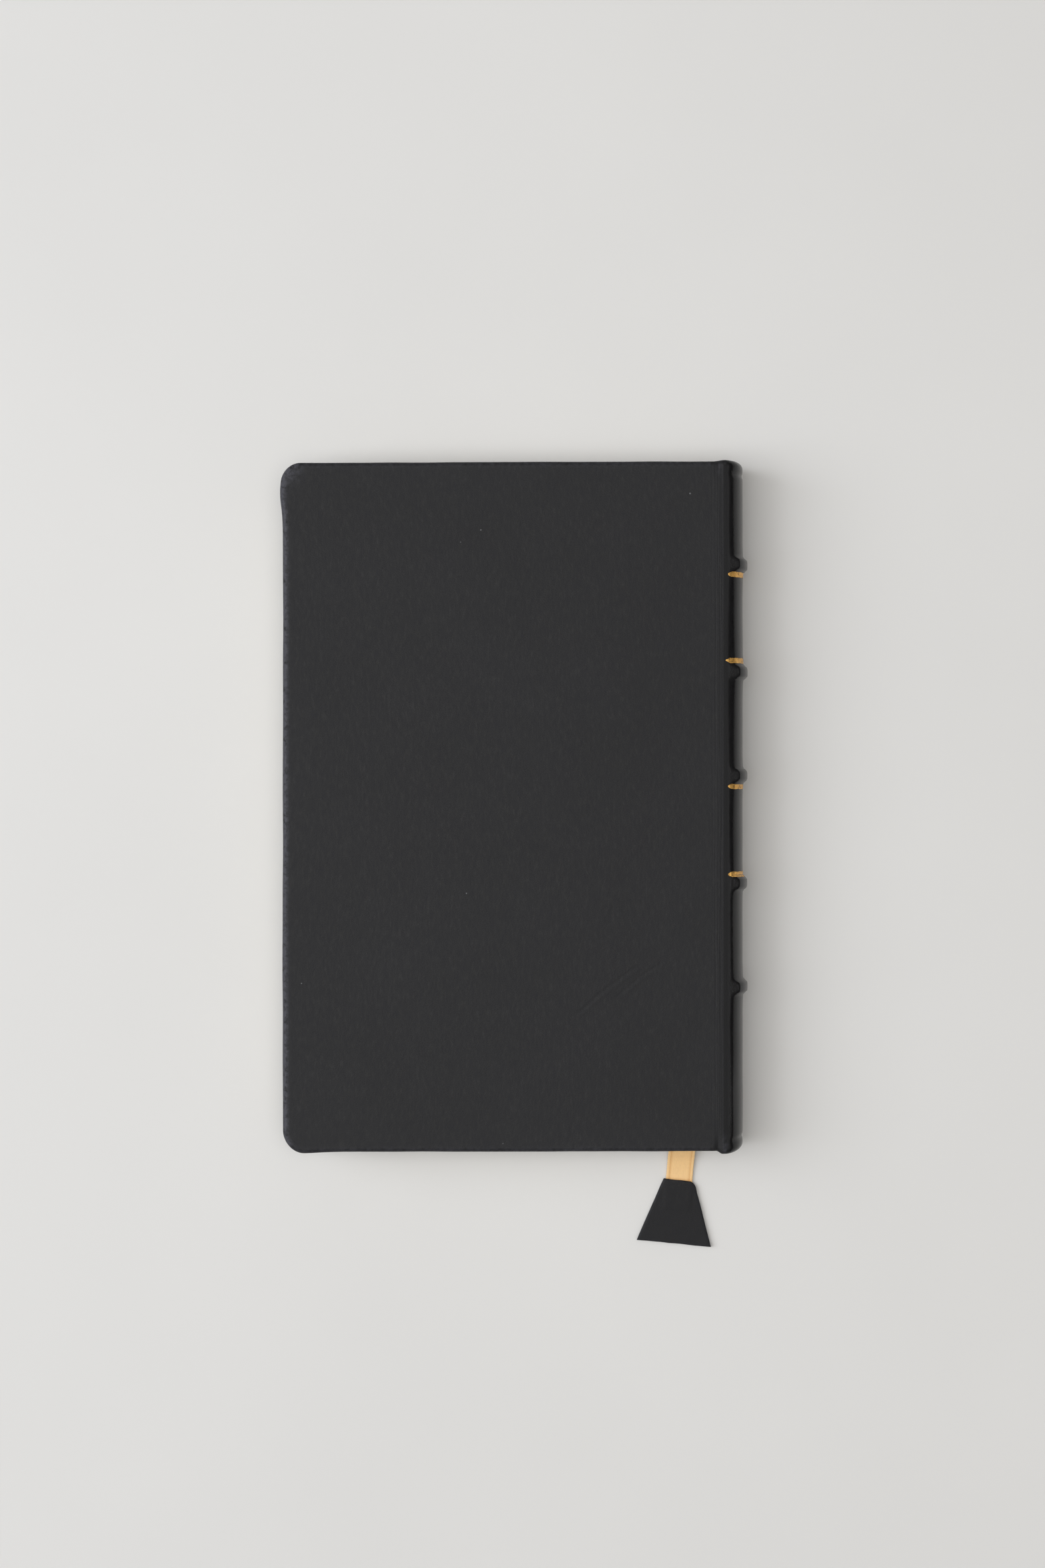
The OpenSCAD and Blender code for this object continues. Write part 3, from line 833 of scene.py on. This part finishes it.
class PRAYER_BOOK_OT_spine_leather(Operator):
    """Cover the spine with leather over its raised bands"""

    bl_idname = "prayer_book.spine_leather"
    bl_label = "Spine Leather"

    def execute(self, context):
        sizes = context.scene.prayer_book_sizes
        cap = sizes.cap_round / MM
        quarter = np.radians(np.linspace(0, 135, 12))[1:]
        body = stations(CAP_Y - cap, -CAP_Y + cap, 0.62)
        rows = [(CAP_Y - cap + cap * math.sin(q), cap * (1 - math.cos(q))) for q in quarter[::-1]]
        rows += [(y, 0.0) for y in body]
        rows += [(-CAP_Y + cap - cap * math.sin(q), cap * (1 - math.cos(q))) for q in quarter]
        rows = np.array(rows)
        turn = np.concatenate([
            np.linspace(1, 0.95, 4), np.linspace(0.95, -0.95, 76)[1:-1], np.linspace(-0.95, -1, 4),
        ])
        grid_turn, grid_y = np.meshgrid(turn, rows[:, 0])
        inward = np.broadcast_to(rows[:, 1][:, None], grid_turn.shape)
        points = spine_points(grid_turn, grid_y, inward, sizes.band_width / MM).reshape(-1, 3)
        faces = grid_faces(len(rows), len(turn))
        wear_and_painted_light = 0.2 * spine_rise(points[:, 1], 3.0) * hump(points[:, 0] - SPINE_X - BAND_RISE, 0.8)
        # The caps are worn; the joint's ends carry a painted highlight
        wear_and_painted_light = wear_and_painted_light + 0.3 * hump(np.abs(points[:, 1]) - CAP_Y, 1.0) + joint_end_highlight(points)
        points, faces = thickened(points, faces, LEATHER_T - 0.1)
        piece = add_piece(
            "spine_leather_skin", points, faces, ["spine_leather"], 60,
            np.concatenate([wear_and_painted_light, wear_and_painted_light * 0]),
        )
        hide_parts("spine_leather")
        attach(piece, "book_block")
        return {"FINISHED"}


class PRAYER_BOOK_OT_gold_lines(Operator):
    """Lay the gold lines across the spine"""

    bl_idname = "prayer_book.gold_lines"
    bl_label = "Gold Lines"

    def execute(self, context):
        sizes = context.scene.prayer_book_sizes
        half = sizes.gold_width / MM / 2
        across = np.linspace(1, -1, 9)[:, None]
        for index, middle_y in enumerate(GOLD_YS):
            # The second line is laid a little further over the joints
            reach = 0.975 if index == 1 else 0.93
            turn = np.linspace(reach, -reach, 240)
            taper = np.sqrt(np.clip((reach - np.abs(turn)) / 0.13, 0.0, 1))
            above = half * taper * (1 + 0.1 * wander(turn * 38, 40 + index)) + 0.02
            below = half * taper * (1 + 0.1 * wander(turn * 41, 50 + index)) + 0.02
            spread = np.where(across > 0, above, below)
            grid_y = middle_y + across * spread + 0.05 * wander(turn * 6, 60 + index)
            grid_turn = np.broadcast_to(turn, grid_y.shape)
            above_leather = np.full(grid_y.shape, -0.055)
            points = spine_points(grid_turn, grid_y, above_leather, sizes.band_width / MM).reshape(-1, 3)
            points, faces = thickened(points, grid_faces(*grid_y.shape), 0.045)
            piece = add_piece(f"gold_leaf_line_{index + 1}", points, faces, ["gold_leaf"])
            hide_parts(f"gold_line_{index + 1}")
            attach(piece, "book_block")
        return {"FINISHED"}


# ---- Text block ----

# Radius of the leaves' corners
LEAF_CORNER = 4.0


def back_point(share):
    """Point on the rounded back of the text block, from its lower shoulder, 0, to its upper one, 1."""
    half = MID_Z - SHOULDER_Z
    radius = arc_radius(half, BACK_ROUND)
    reach = math.asin(half / radius)
    angle = -reach + 2 * reach * share
    return BACK_X - radius + radius * math.cos(angle), MID_Z + radius * math.sin(angle)


def cut_corner(x, half_height, corner):
    """Half-height of a leaf along its width, with its fore-edge corners rounded."""
    inset = np.clip(corner - (x - x[0]), 0, corner)
    return half_height - (corner - np.sqrt(corner ** 2 - inset ** 2))


def leaf_mesh(z0, z1, back_low, back_high, hollow, seed):
    """One leaf as a closed strip from its fore-edge to the back of the text block."""
    random = np.random.default_rng(seed)
    fore = BLOCK_X
    if hollow > 0.01:
        mid = (z0 + z1) / 2 - MID_Z
        radius = arc_radius(MID_Z - BLOCK_Z, hollow)
        fore = fore + hollow - radius + math.sqrt(max(radius ** 2 - mid ** 2, 0))
    fore = fore + random.uniform(0, 0.22)
    height = BLOCK_H - random.uniform(0, 0.16)
    x = np.concatenate([fore + np.array([0, 0.35, 1, 2, 3, 4]), stations(-50, 44, 12, FAN_X, 1.4)])
    low_z = np.append(np.full(len(x), z0), back_low[1])
    high_z = np.append(np.full(len(x), z1), back_high[1])
    x = np.append(x, (back_low[0] + back_high[0]) / 2)
    half = cut_corner(x, height, LEAF_CORNER)
    bow = 0.1 * wander(x * 0.2, seed + 500)
    points = np.concatenate([
        np.stack([x, sign * half + bow, level], axis=-1)
        for sign, level in ((1, high_z), (-1, high_z), (-1, low_z), (1, low_z))
    ])
    count = len(x)
    faces = []
    for side in range(4):
        a = side * count
        b = (side + 1) % 4 * count
        faces += [(a + i, b + i, b + i + 1, a + i + 1) for i in range(count - 1)]
    faces += [(0, 3 * count, 2 * count, count)]
    faces += [tuple(side * count + count - 1 for side in range(4))]
    return points, np.array(faces)


def joined(parts):
    """One set of points and faces from several."""
    starts = np.cumsum([0] + [len(points) for points, _ in parts])
    points = np.concatenate([points for points, _ in parts])
    return points, np.concatenate([faces + start for (_, faces), start in zip(parts, starts)])


class PRAYER_BOOK_OT_text_block(Operator):
    """Lay up the leaves of each section of the text block"""

    bl_idname = "prayer_book.text_block"
    bl_label = "Text Block"

    def execute(self, context):
        sizes = context.scene.prayer_book_sizes
        leaves = sizes.section_leaves
        hollow = sizes.fore_hollow / MM
        for number in range(1, SECTIONS + 1):
            z0 = BLOCK_Z + (number - 1) * SECTION_T
            parts = []
            for leaf in range(leaves):
                shares = ((leaf + 0.07) / leaves, (leaf + 0.93) / leaves)
                bottom, top = (z0 + SECTION_T * share for share in shares)
                # The ribbon takes the place of the leaf over it
                if number == 2 and top > BETWEEN_SECTIONS_Z + 0.02:
                    continue
                ends = [back_point((number - 1 + share) / SECTIONS) for share in shares]
                ends = [(x - 0.08, z) for x, z in ends]
                parts.append(leaf_mesh(bottom, top, ends[0], ends[1], hollow, number * 40 + leaf))
            points, faces = joined(parts)
            piece = add_piece(f"text_section_{number}", points, faces, ["text_paper"], 30)
            if number < FIRST_TURNED:
                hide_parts(f"section_{number}")
                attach(piece, "book_block")
                continue
            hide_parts(f"section_{number}_fold", f"section_{number}_leaves")
            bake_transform(piece)
        return {"FINISHED"}


# ---- Endpapers ----

# The pastedown past its board, where it folds up into the joint and comes down on the shoulder:
# how far past the board and how far above the board's inner face
PASTEDOWN_FOLD = (
    (0.22, 0.35), (0.3, 0.8), (0.42, 1.2), (0.72, 1.42), (1.05, 1.3), (1.3, 1.0), (1.7, 0.86), (2.3, 1.05),
)


def sheet_grid(x, z, half_height, corner, seed):
    """Sheet along a line in X and Z, rounded at its fore-edge corners."""
    across = np.linspace(1, -1, 25)
    grid_y = across[:, None] * cut_corner(x, half_height, corner)
    grid_x = np.broadcast_to(x, grid_y.shape)
    wave = 0.02 * wander(grid_y * 0.07 + grid_x * 0.05, seed)
    grid_z = z + wave * ease((BOARD_X - 4 - grid_x) / 10)
    points = np.stack([grid_x, grid_y, grid_z], axis=-1).reshape(-1, 3)
    return points, grid_faces(len(across), len(x))


class PRAYER_BOOK_OT_endpapers(Operator):
    """Paste down the endpapers and lay in the flyleaves"""

    bl_idname = "prayer_book.endpapers"
    bl_label = "Endpapers"

    def execute(self, context):
        fore = PASTEDOWN[0][0]
        board = stations(fore, fore + 3, 0.6, BOARD_X - 2, 9.3, BOARD_X + 0.05, 0.4)
        inner = COVER_T + PAPER_T - 0.01
        x = np.concatenate([board, [BOARD_X + past for past, _ in PASTEDOWN_FOLD]])
        depth = np.concatenate([np.full(len(board), inner), [inner - up for _, up in PASTEDOWN_FOLD]])
        for side, name in ((1, "upper"), (-1, "lower")):
            level = TOP - depth if side > 0 else depth
            points, faces = sheet_grid(x, level, PASTEDOWN[1][1], 2.5, 70 + side)
            if side > 0:
                faces = faces[:, ::-1]
            points, faces = thickened(points, faces, PAPER_T - 0.02)
            piece = add_piece(f"{name}_pastedown_paper", points, faces, ["endpaper"])
            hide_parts(f"{name}_pastedown")
            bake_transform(piece)
        shoulder = high("front_endpaper_fold")[0]
        rise = (high("front_endpaper_fold")[2] - FLYLEAF_Z - PAPER_T) / (shoulder - FAN_X)
        x = np.concatenate([
            stations(BLOCK_X, BLOCK_X + 4, 0.5, 44, 12, FAN_X, 1.4),
            [FAN_X + 0.9, FAN_X + 1.8, shoulder - 0.2],
        ])
        level = FLYLEAF_Z + PAPER_T - 0.02 + np.maximum(x - FAN_X, 0) * rise
        piece = self.add_flyleaf("front", x, level, 75)
        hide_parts("front_free_endpaper", "front_endpaper_fold")
        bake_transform(piece)
        x = stations(BLOCK_X, BLOCK_X + 4, 0.5, LEAF_X - 0.2, 12)
        piece = self.add_flyleaf("back", x, np.full(len(x), TOP - FLYLEAF_Z - 0.02), 77)
        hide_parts("back_free_endpaper")
        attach(piece, "back_flyleaf")
        give_finish(["back_endpaper_fold"], "endpaper")
        return {"FINISHED"}

    def add_flyleaf(self, name, x, level, seed):
        """Loose endpaper along a line of places and levels."""
        points, faces = sheet_grid(x, level, BLOCK_H - 0.05, LEAF_CORNER, seed)
        points, faces = thickened(points, faces, PAPER_T - 0.04)
        return add_piece(f"{name}_flyleaf_paper", points, faces, ["endpaper"])


# ---- Headbands ----

# Turns of silk on a headband, and rings of points in each turn
WINDINGS = 30
RINGS = 6
# Turns of one colour before the other takes over
TURNS_OF_COLOUR = 2


def winding_mesh(name):
    """Tube of silk round a headband's core, ridged at each turn: points, faces and colour of each face."""
    lowest, highest = low(f"{name}_silk"), high(f"{name}_silk")
    thick = (highest[1] - lowest[1]) / 2
    middle_y = (highest[1] + lowest[1]) / 2
    centre = BACK_X - arc_radius(MID_Z - SHOULDER_Z, BACK_ROUND)
    radius = highest[0] - thick - centre
    reach = math.asin(min(1, (highest[2] - MID_Z - thick * 0.6) / radius))
    steps = WINDINGS * RINGS
    ridge = np.abs(np.sin(np.linspace(0, WINDINGS * math.pi, steps + 1)))
    tube = (thick * (0.9 + 0.09 * ridge))[:, None]
    around = np.linspace(0, 2 * math.pi, 17)[:-1]
    # The turns lean a little
    angle = np.linspace(-reach, reach, steps + 1)[:, None] + 0.02 * np.cos(around)
    out = radius + tube * np.cos(around)
    points = np.stack([
        centre + out * np.cos(angle), middle_y + tube * np.sin(around), MID_Z + out * np.sin(angle),
    ], axis=-1).reshape(-1, 3)
    count = len(around)
    after = [(i + 1) % count for i in range(count)]
    faces = []
    colours = []
    for row in range(steps):
        a = row * count
        b = a + count
        faces += [(a + i, a + j, b + j, b + i) for i, j in enumerate(after)]
        colours += [row // RINGS // TURNS_OF_COLOUR % 2] * count
    first = len(points)
    for i, j in enumerate(after):
        faces += [(j, i, first), (steps * count + i, steps * count + j, first + 1)]
        colours += [0, 0]
    ends = [points[:count].mean(axis=0), points[-count:].mean(axis=0)]
    return np.concatenate([points, ends]), faces, colours


class PRAYER_BOOK_OT_headbands(Operator):
    """Wind the silk of the headband and the tailband"""

    bl_idname = "prayer_book.headbands"
    bl_label = "Headbands"

    def execute(self, context):
        for name in ("headband", "tailband"):
            points, faces, colours = winding_mesh(name)
            piece = add_piece(
                f"{name}_windings", points, faces, ["light_silk", "dark_silk"], 180,
                finish_index=colours,
            )
            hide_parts(f"{name}_silk")
            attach(piece, "book_block")
        return {"FINISHED"}


class PRAYER_BOOK_OT_hidden_parts(Operator):
    """Give boards, cords, linings and threads their finishes"""

    bl_idname = "prayer_book.hidden_parts"
    bl_label = "Hidden Parts"

    def execute(self, context):
        give_finish(["lower_board", "upper_board"], "binders_board")
        give_finish(["lower_turn_in_fill", "upper_turn_in_fill"], "fill_card")
        give_finish([f"band_core_{i}" for i in range(1, 6)], "sewing_cord")
        give_finish(["headband_core", "tailband_core"], "sewing_cord")
        give_finish([f"spine_lining_{i}" for i in range(1, 7)], "spine_lining")
        give_finish(["head_kettle_thread", "tail_kettle_thread"], "linen_thread")
        return {"FINISHED"}


# ---- Marker ----

# Direction of the ribbon's free end along the table, and the direction to its right
RIBBON_WAY = np.array([-math.sin(RIBBON_LEAN), -math.cos(RIBBON_LEAN), 0])
RIBBON_RIGHT = np.array([math.cos(RIBBON_LEAN), -math.sin(RIBBON_LEAN)])
# The tab's half-width at its top and how much wider it is at its foot
TAB_HALF_TOP = 4.7
TAB_FLARE = 6.5
TAB_T = 0.5


def ribbon_path():
    """Middle line of the ribbon's lower face, in millimetres."""
    points = [(x, y, BETWEEN_SECTIONS_Z) for x, y in RIBBON_LINE]
    exit_x = RIBBON_LINE[-1][0]
    points += [(exit_x + run * RIBBON_WAY[0], EXIT_Y + run * RIBBON_WAY[1], z) for run, z in RIBBON_DROP]
    return np.array(points)


def along_line(points, step):
    """Points at even steps along a line through the given points, smoothed at its corners."""
    lengths = np.concatenate([[0], np.cumsum(np.linalg.norm(np.diff(points, axis=0), axis=1))])
    places = np.linspace(0, lengths[-1], max(2, round(lengths[-1] / step)) + 1)
    line = np.stack([np.interp(places, lengths, points[:, axis]) for axis in range(3)], axis=-1)
    for _ in range(3):
        line[1:-1] = (line[:-2] + 2 * line[1:-1] + line[2:]) / 4
    return line


def ribbon_line(thickness):
    """Middle line of the ribbon, in long steps inside the book and short ones where it shows."""
    path = ribbon_path() + np.array([0, 0, thickness / 2])
    inside = len(RIBBON_LINE)
    shown = along_line(path[inside - 2:], 0.22)
    shown = shown[shown[:, 1] < path[inside - 2][1] - 0.5]
    hidden = along_line(path[:inside], 2.5)
    return np.concatenate([hidden[hidden[:, 1] > shown[0, 1] + 0.1], shown])


def face_up(points, faces):
    """The same faces, turned so that their normals point up."""
    return faces[:, ::-1] if grid_normals(points, faces)[:, 2].mean() < 0 else faces


class PRAYER_BOOK_OT_marker(Operator):
    """Lay in the ribbon marker with its leather tab"""

    bl_idname = "prayer_book.marker"
    bl_label = "Ribbon Marker"

    def execute(self, context):
        sizes = context.scene.prayer_book_sizes
        tab_top = np.array([RIBBON_LINE[-1][0], EXIT_Y]) + TAB_RUN * RIBBON_WAY[:2]
        tab = self.add_tab(sizes.tab_height / MM, tab_top)
        thickness = sizes.ribbon_thickness / MM
        line = ribbon_line(thickness)
        ahead = np.gradient(line, axis=0)
        ahead = ahead / np.linalg.norm(ahead, axis=1, keepdims=True)
        side = np.cross(ahead, [0, 0, 1])
        side = side / np.linalg.norm(side, axis=1, keepdims=True)
        up = np.cross(side, ahead)
        half = sizes.ribbon_width / MM / 2
        across = np.array([-1, -0.985, -0.95, -0.88, -0.80, -0.77, -0.74, -0.6, -0.3, 0])
        across = np.concatenate([across, -across[-2::-1]])
        # A low welt along each selvedge, a line pressed in beside it, and a turned-down rim
        lift = 0.03 * hump(np.abs(across) - 0.88, 0.1) - 0.02 * hump(np.abs(across) - 0.77, 0.035)
        lift = lift - 0.06 * (np.abs(across) > 0.99)
        run = np.arange(len(line))[:, None]
        selvedge = np.abs(across) > 0.97
        teeth = 0.07 * np.sign(np.sin(run * 2.1)) * selvedge
        ragged = teeth - 0.07 + 0.04 * wander(run * 0.31, 81) * selvedge
        reach = across * half + np.sign(across) * ragged
        points = line[:, None, :] + side[:, None, :] * reach[:, :, None]
        points = points + up[:, None, :] * (lift[None, :, None] + thickness / 2 - 0.02)
        points = points.reshape(-1, 3)
        wear_and_painted_light = np.tile(0.5 * hump(np.abs(across) - 0.77, 0.04), len(line))
        # A painted shade across the ribbon where it goes in under the tab
        wear_and_painted_light = wear_and_painted_light + 0.45 * np.repeat(hump(line[:, 1] - tab_top[1], 0.45), len(across))
        faces = face_up(points, grid_faces(len(line), len(across)))
        points, faces = thickened(points, faces, thickness - 0.04)
        piece = add_piece(
            "ribbon_marker", points, faces, ["ribbon_satin"], 50, np.concatenate([wear_and_painted_light, wear_and_painted_light])
        )
        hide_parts("marker_ribbon", "marker_ribbon_tail")
        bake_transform(piece)
        return {"FINISHED"}

    def add_tab(self, height, tab_top):
        """Two trapezoids of leather pasted over the ribbon's end."""
        leather = high("marker_tab_back")[2]
        top = high("marker_tab_front")[2]
        edge = np.array([0, 0.08, 0.25, 0.5])
        down = np.concatenate([edge, stations(0.9, height - 0.9, 0.75), height - edge[::-1]])
        share = np.concatenate([edge / 10, np.linspace(0.09, 0.91, 22), 1 - edge[::-1] / 10])
        grid_down, grid_share = np.meshgrid(down, share, indexing="ij")
        half = TAB_HALF_TOP + TAB_FLARE * grid_down / height
        pieces = []
        for name, z0, z1, seed in (("front", leather, top, 91), ("back", 0.0, leather, 95)):
            left = -half + 0.12 * wander(grid_down * 0.25, seed) + 0.1
            right = half + 0.15 * wander(grid_down * 0.22, seed + 1) - 0.05
            # The upper right corner is clipped round
            right = right - 1.1 * np.clip(1 - grid_down / 1.5, 0, 1) ** 2
            u = left + (right - left) * grid_share
            v = grid_down + 0.1 * wander(u * 0.35, seed + 2) + 0.18 * ease(grid_share - 0.2)
            rim = np.minimum(
                np.minimum(grid_down, height - grid_down), np.minimum(grid_share, 1 - grid_share) * 2 * half
            )
            softness = 0.22 * np.clip(1 - rim / 0.5, 0, 1) ** 2
            # The front leather stands up over the ribbon
            over_ribbon = ease((9.6 - grid_down) / 1.2) * ease((4.6 - np.abs(u)) / 0.9)
            swell = 0.12 * (1 - over_ribbon) if name == "front" else 0.0
            z = z1 - softness - swell - 0.03 * (1 + wander(u * 0.3 + v * 0.2, seed + 3))
            x = tab_top[0] + u * RIBBON_RIGHT[0] + v * RIBBON_WAY[0]
            y = tab_top[1] + u * RIBBON_RIGHT[1] + v * RIBBON_WAY[1]
            points = np.stack([x, y, z], axis=-1).reshape(-1, 3)
            faces = face_up(points, grid_faces(len(down), len(share)))
            wear_and_painted_light = 0.5 * np.clip(1 - rim / 0.6, 0, 1).ravel()
            thick, faces = thickened(points, faces, TAB_T)
            # The underside lies straight below the face
            thick[len(points):] = points
            thick[len(points):, 2] = z0 + softness.ravel() * 0.6
            piece = add_piece(
                f"marker_{name}_leather", thick, faces, ["tab_leather"], 50,
                np.concatenate([wear_and_painted_light, wear_and_painted_light]),
            )
            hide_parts(f"marker_tab_{name}")
            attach(piece, "marker_tail")
            pieces.append(piece)
        return pieces


# ---- Stage ----

# A long soft light from overhead down to the fore-edge side: part, lean in degrees and share
KEY_PARTS = (("low", 52, 0.18), ("middle", 25, 0.4), ("overhead", -3, 0.42))
KEY_Y = -0.016
# The camera looks straight down from over this place, in millimetres
CAMERA_PLACE = (1.85, 6.8)
# Half the floor's width, in metres
FLOOR_REACH = 40.0


def add_object(name, data, location=(0, 0, 0)):
    """Object of the stage."""
    thing = bpy.data.objects.new(name, data)
    thing.location = location
    bpy.context.scene.collection.objects.link(thing)
    return thing


def add_lamp(name, kind, location, power):
    """Lamp aimed at the book."""
    data = bpy.data.lights.new(name, kind)
    data.energy = power
    lamp = add_object(name, data, location)
    way = -np.array(lamp.location)
    bearing = math.atan2(way[0], -way[1])
    tilt = math.acos(-way[2] / np.linalg.norm(way))
    lamp.rotation_euler = (tilt, 0, bearing + math.pi)
    return data


class PRAYER_BOOK_OT_stage(Operator):
    """Set up the camera, the lights and the floor"""

    bl_idname = "prayer_book.stage"
    bl_label = "Stage"

    def execute(self, context):
        stage = context.scene.prayer_book_stage
        camera_data = bpy.data.cameras.new("camera")
        camera_data.sensor_width = 36
        camera_data.sensor_fit = "AUTO"
        camera_data.lens = stage.lens
        camera_data.clip_end = 100
        place = (CAMERA_PLACE[0] * MM, CAMERA_PLACE[1] * MM, stage.camera_height)
        context.scene.camera = add_object("camera", camera_data, place)

        mesh = bpy.data.meshes.new("floor")
        count = 9
        places = np.linspace(-FLOOR_REACH, FLOOR_REACH, count)
        grid_x, grid_y = np.meshgrid(places, places)
        points = np.stack([grid_x, grid_y, np.zeros_like(grid_x)], axis=-1).reshape(-1, 3)
        mesh.from_pydata(points.tolist(), [], grid_faces(count, count)[:, ::-1].tolist())
        mesh.materials.append(finish("floor"))
        add_object("floor", mesh)

        for name, lean, share in KEY_PARTS:
            lean = math.radians(lean)
            place = (-math.sin(lean), KEY_Y, math.cos(lean))
            key = add_lamp(f"key_{name}", "SUN", place, stage.key_strength * share)
            key.angle = stage.key_spread
        side = add_lamp("side", "AREA", (-0.9, 0.1, 0.8), stage.side_power)
        side.shape = "RECTANGLE"
        side.size = 0.7
        side.size_y = 0.9
        side.color = (0.9, 0.94, 1.0)
        self.add_sky(context.scene, stage.fill)
        context.scene.view_settings.view_transform = "Standard"
        return {"FINISHED"}

    def add_sky(self, scene, fill):
        """Soft light all round, brighter overhead and towards the fore-edge."""
        world = bpy.data.worlds.new("studio")
        scene.world = world
        world.use_nodes = True
        work = NodeWork(world.node_tree)
        coordinates = work.add("TexCoord", {})
        split = work.add("SeparateXYZ", {"Vector": coordinates.outputs["Generated"]})
        side = work.in_range(split.outputs["X"], -0.8, 0.7, 1.0, 0.8)
        dome = work.in_range(split.outputs["Z"], 0.25, 0.95, 0.125, 0.5)
        # A pale strip along the horizon, so that the floor doesn't end in a dark line
        horizon = work.in_range(split.outputs["Z"], 0.09, 0.06, 0.0, 0.9)
        level = work.worked_out("MULTIPLY", side, work.worked_out("MAXIMUM", dome, horizon))
        shade = work.ramp(level, (0.0, (0.0, 0.0, 0.0)), (1.0, (1.0, 0.955, 0.88)))
        work.fill(work.nodes["Background"], {"Color": shade, "Strength": 2 * fill})


# ---- Panel and registration ----

class PRAYER_BOOK_PT_panel(Panel):
    """Lists the prayer book's settings and the steps that build it"""

    bl_idname = "PRAYER_BOOK_PT_panel"
    bl_label = "Prayer Book"
    bl_space_type = "VIEW_3D"
    bl_region_type = "UI"
    bl_category = "Prayer Book"

    def draw(self, context):
        layout = self.layout
        for operator in OPERATORS:
            layout.operator(operator.bl_idname)
        for group_name in ("prayer_book_sizes", "prayer_book_colours", "prayer_book_stage"):
            group = getattr(context.scene, group_name)
            box = layout.box()
            for setting in group.__annotations__:
                box.prop(group, setting)


# The camera and the ribbon come first
OPERATORS = (
    PRAYER_BOOK_OT_stage,
    PRAYER_BOOK_OT_marker,
    PRAYER_BOOK_OT_cover_leather,
    PRAYER_BOOK_OT_spine_leather,
    PRAYER_BOOK_OT_gold_lines,
    PRAYER_BOOK_OT_text_block,
    PRAYER_BOOK_OT_endpapers,
    PRAYER_BOOK_OT_headbands,
    PRAYER_BOOK_OT_hidden_parts,
)
GROUPS = (PrayerBookSizes, PrayerBookColours, PrayerBookStage)


def register():
    """Registers the settings, the operators and the panel."""
    for group in (*GROUPS, *OPERATORS, PRAYER_BOOK_PT_panel):
        bpy.utils.register_class(group)
    bpy.types.Scene.prayer_book_sizes = PointerProperty(type=PrayerBookSizes)
    bpy.types.Scene.prayer_book_colours = PointerProperty(type=PrayerBookColours)
    bpy.types.Scene.prayer_book_stage = PointerProperty(type=PrayerBookStage)


def unregister():
    """Takes back what register added."""
    del bpy.types.Scene.prayer_book_stage
    del bpy.types.Scene.prayer_book_colours
    del bpy.types.Scene.prayer_book_sizes
    for group in reversed((*GROUPS, *OPERATORS, PRAYER_BOOK_PT_panel)):
        bpy.utils.unregister_class(group)


def main():
    """Builds the book step by step."""
    register()
    for operator in OPERATORS:
        group, name = operator.bl_idname.split(".")
        getattr(getattr(bpy.ops, group), name)()


if __name__ == "__main__":
    main()
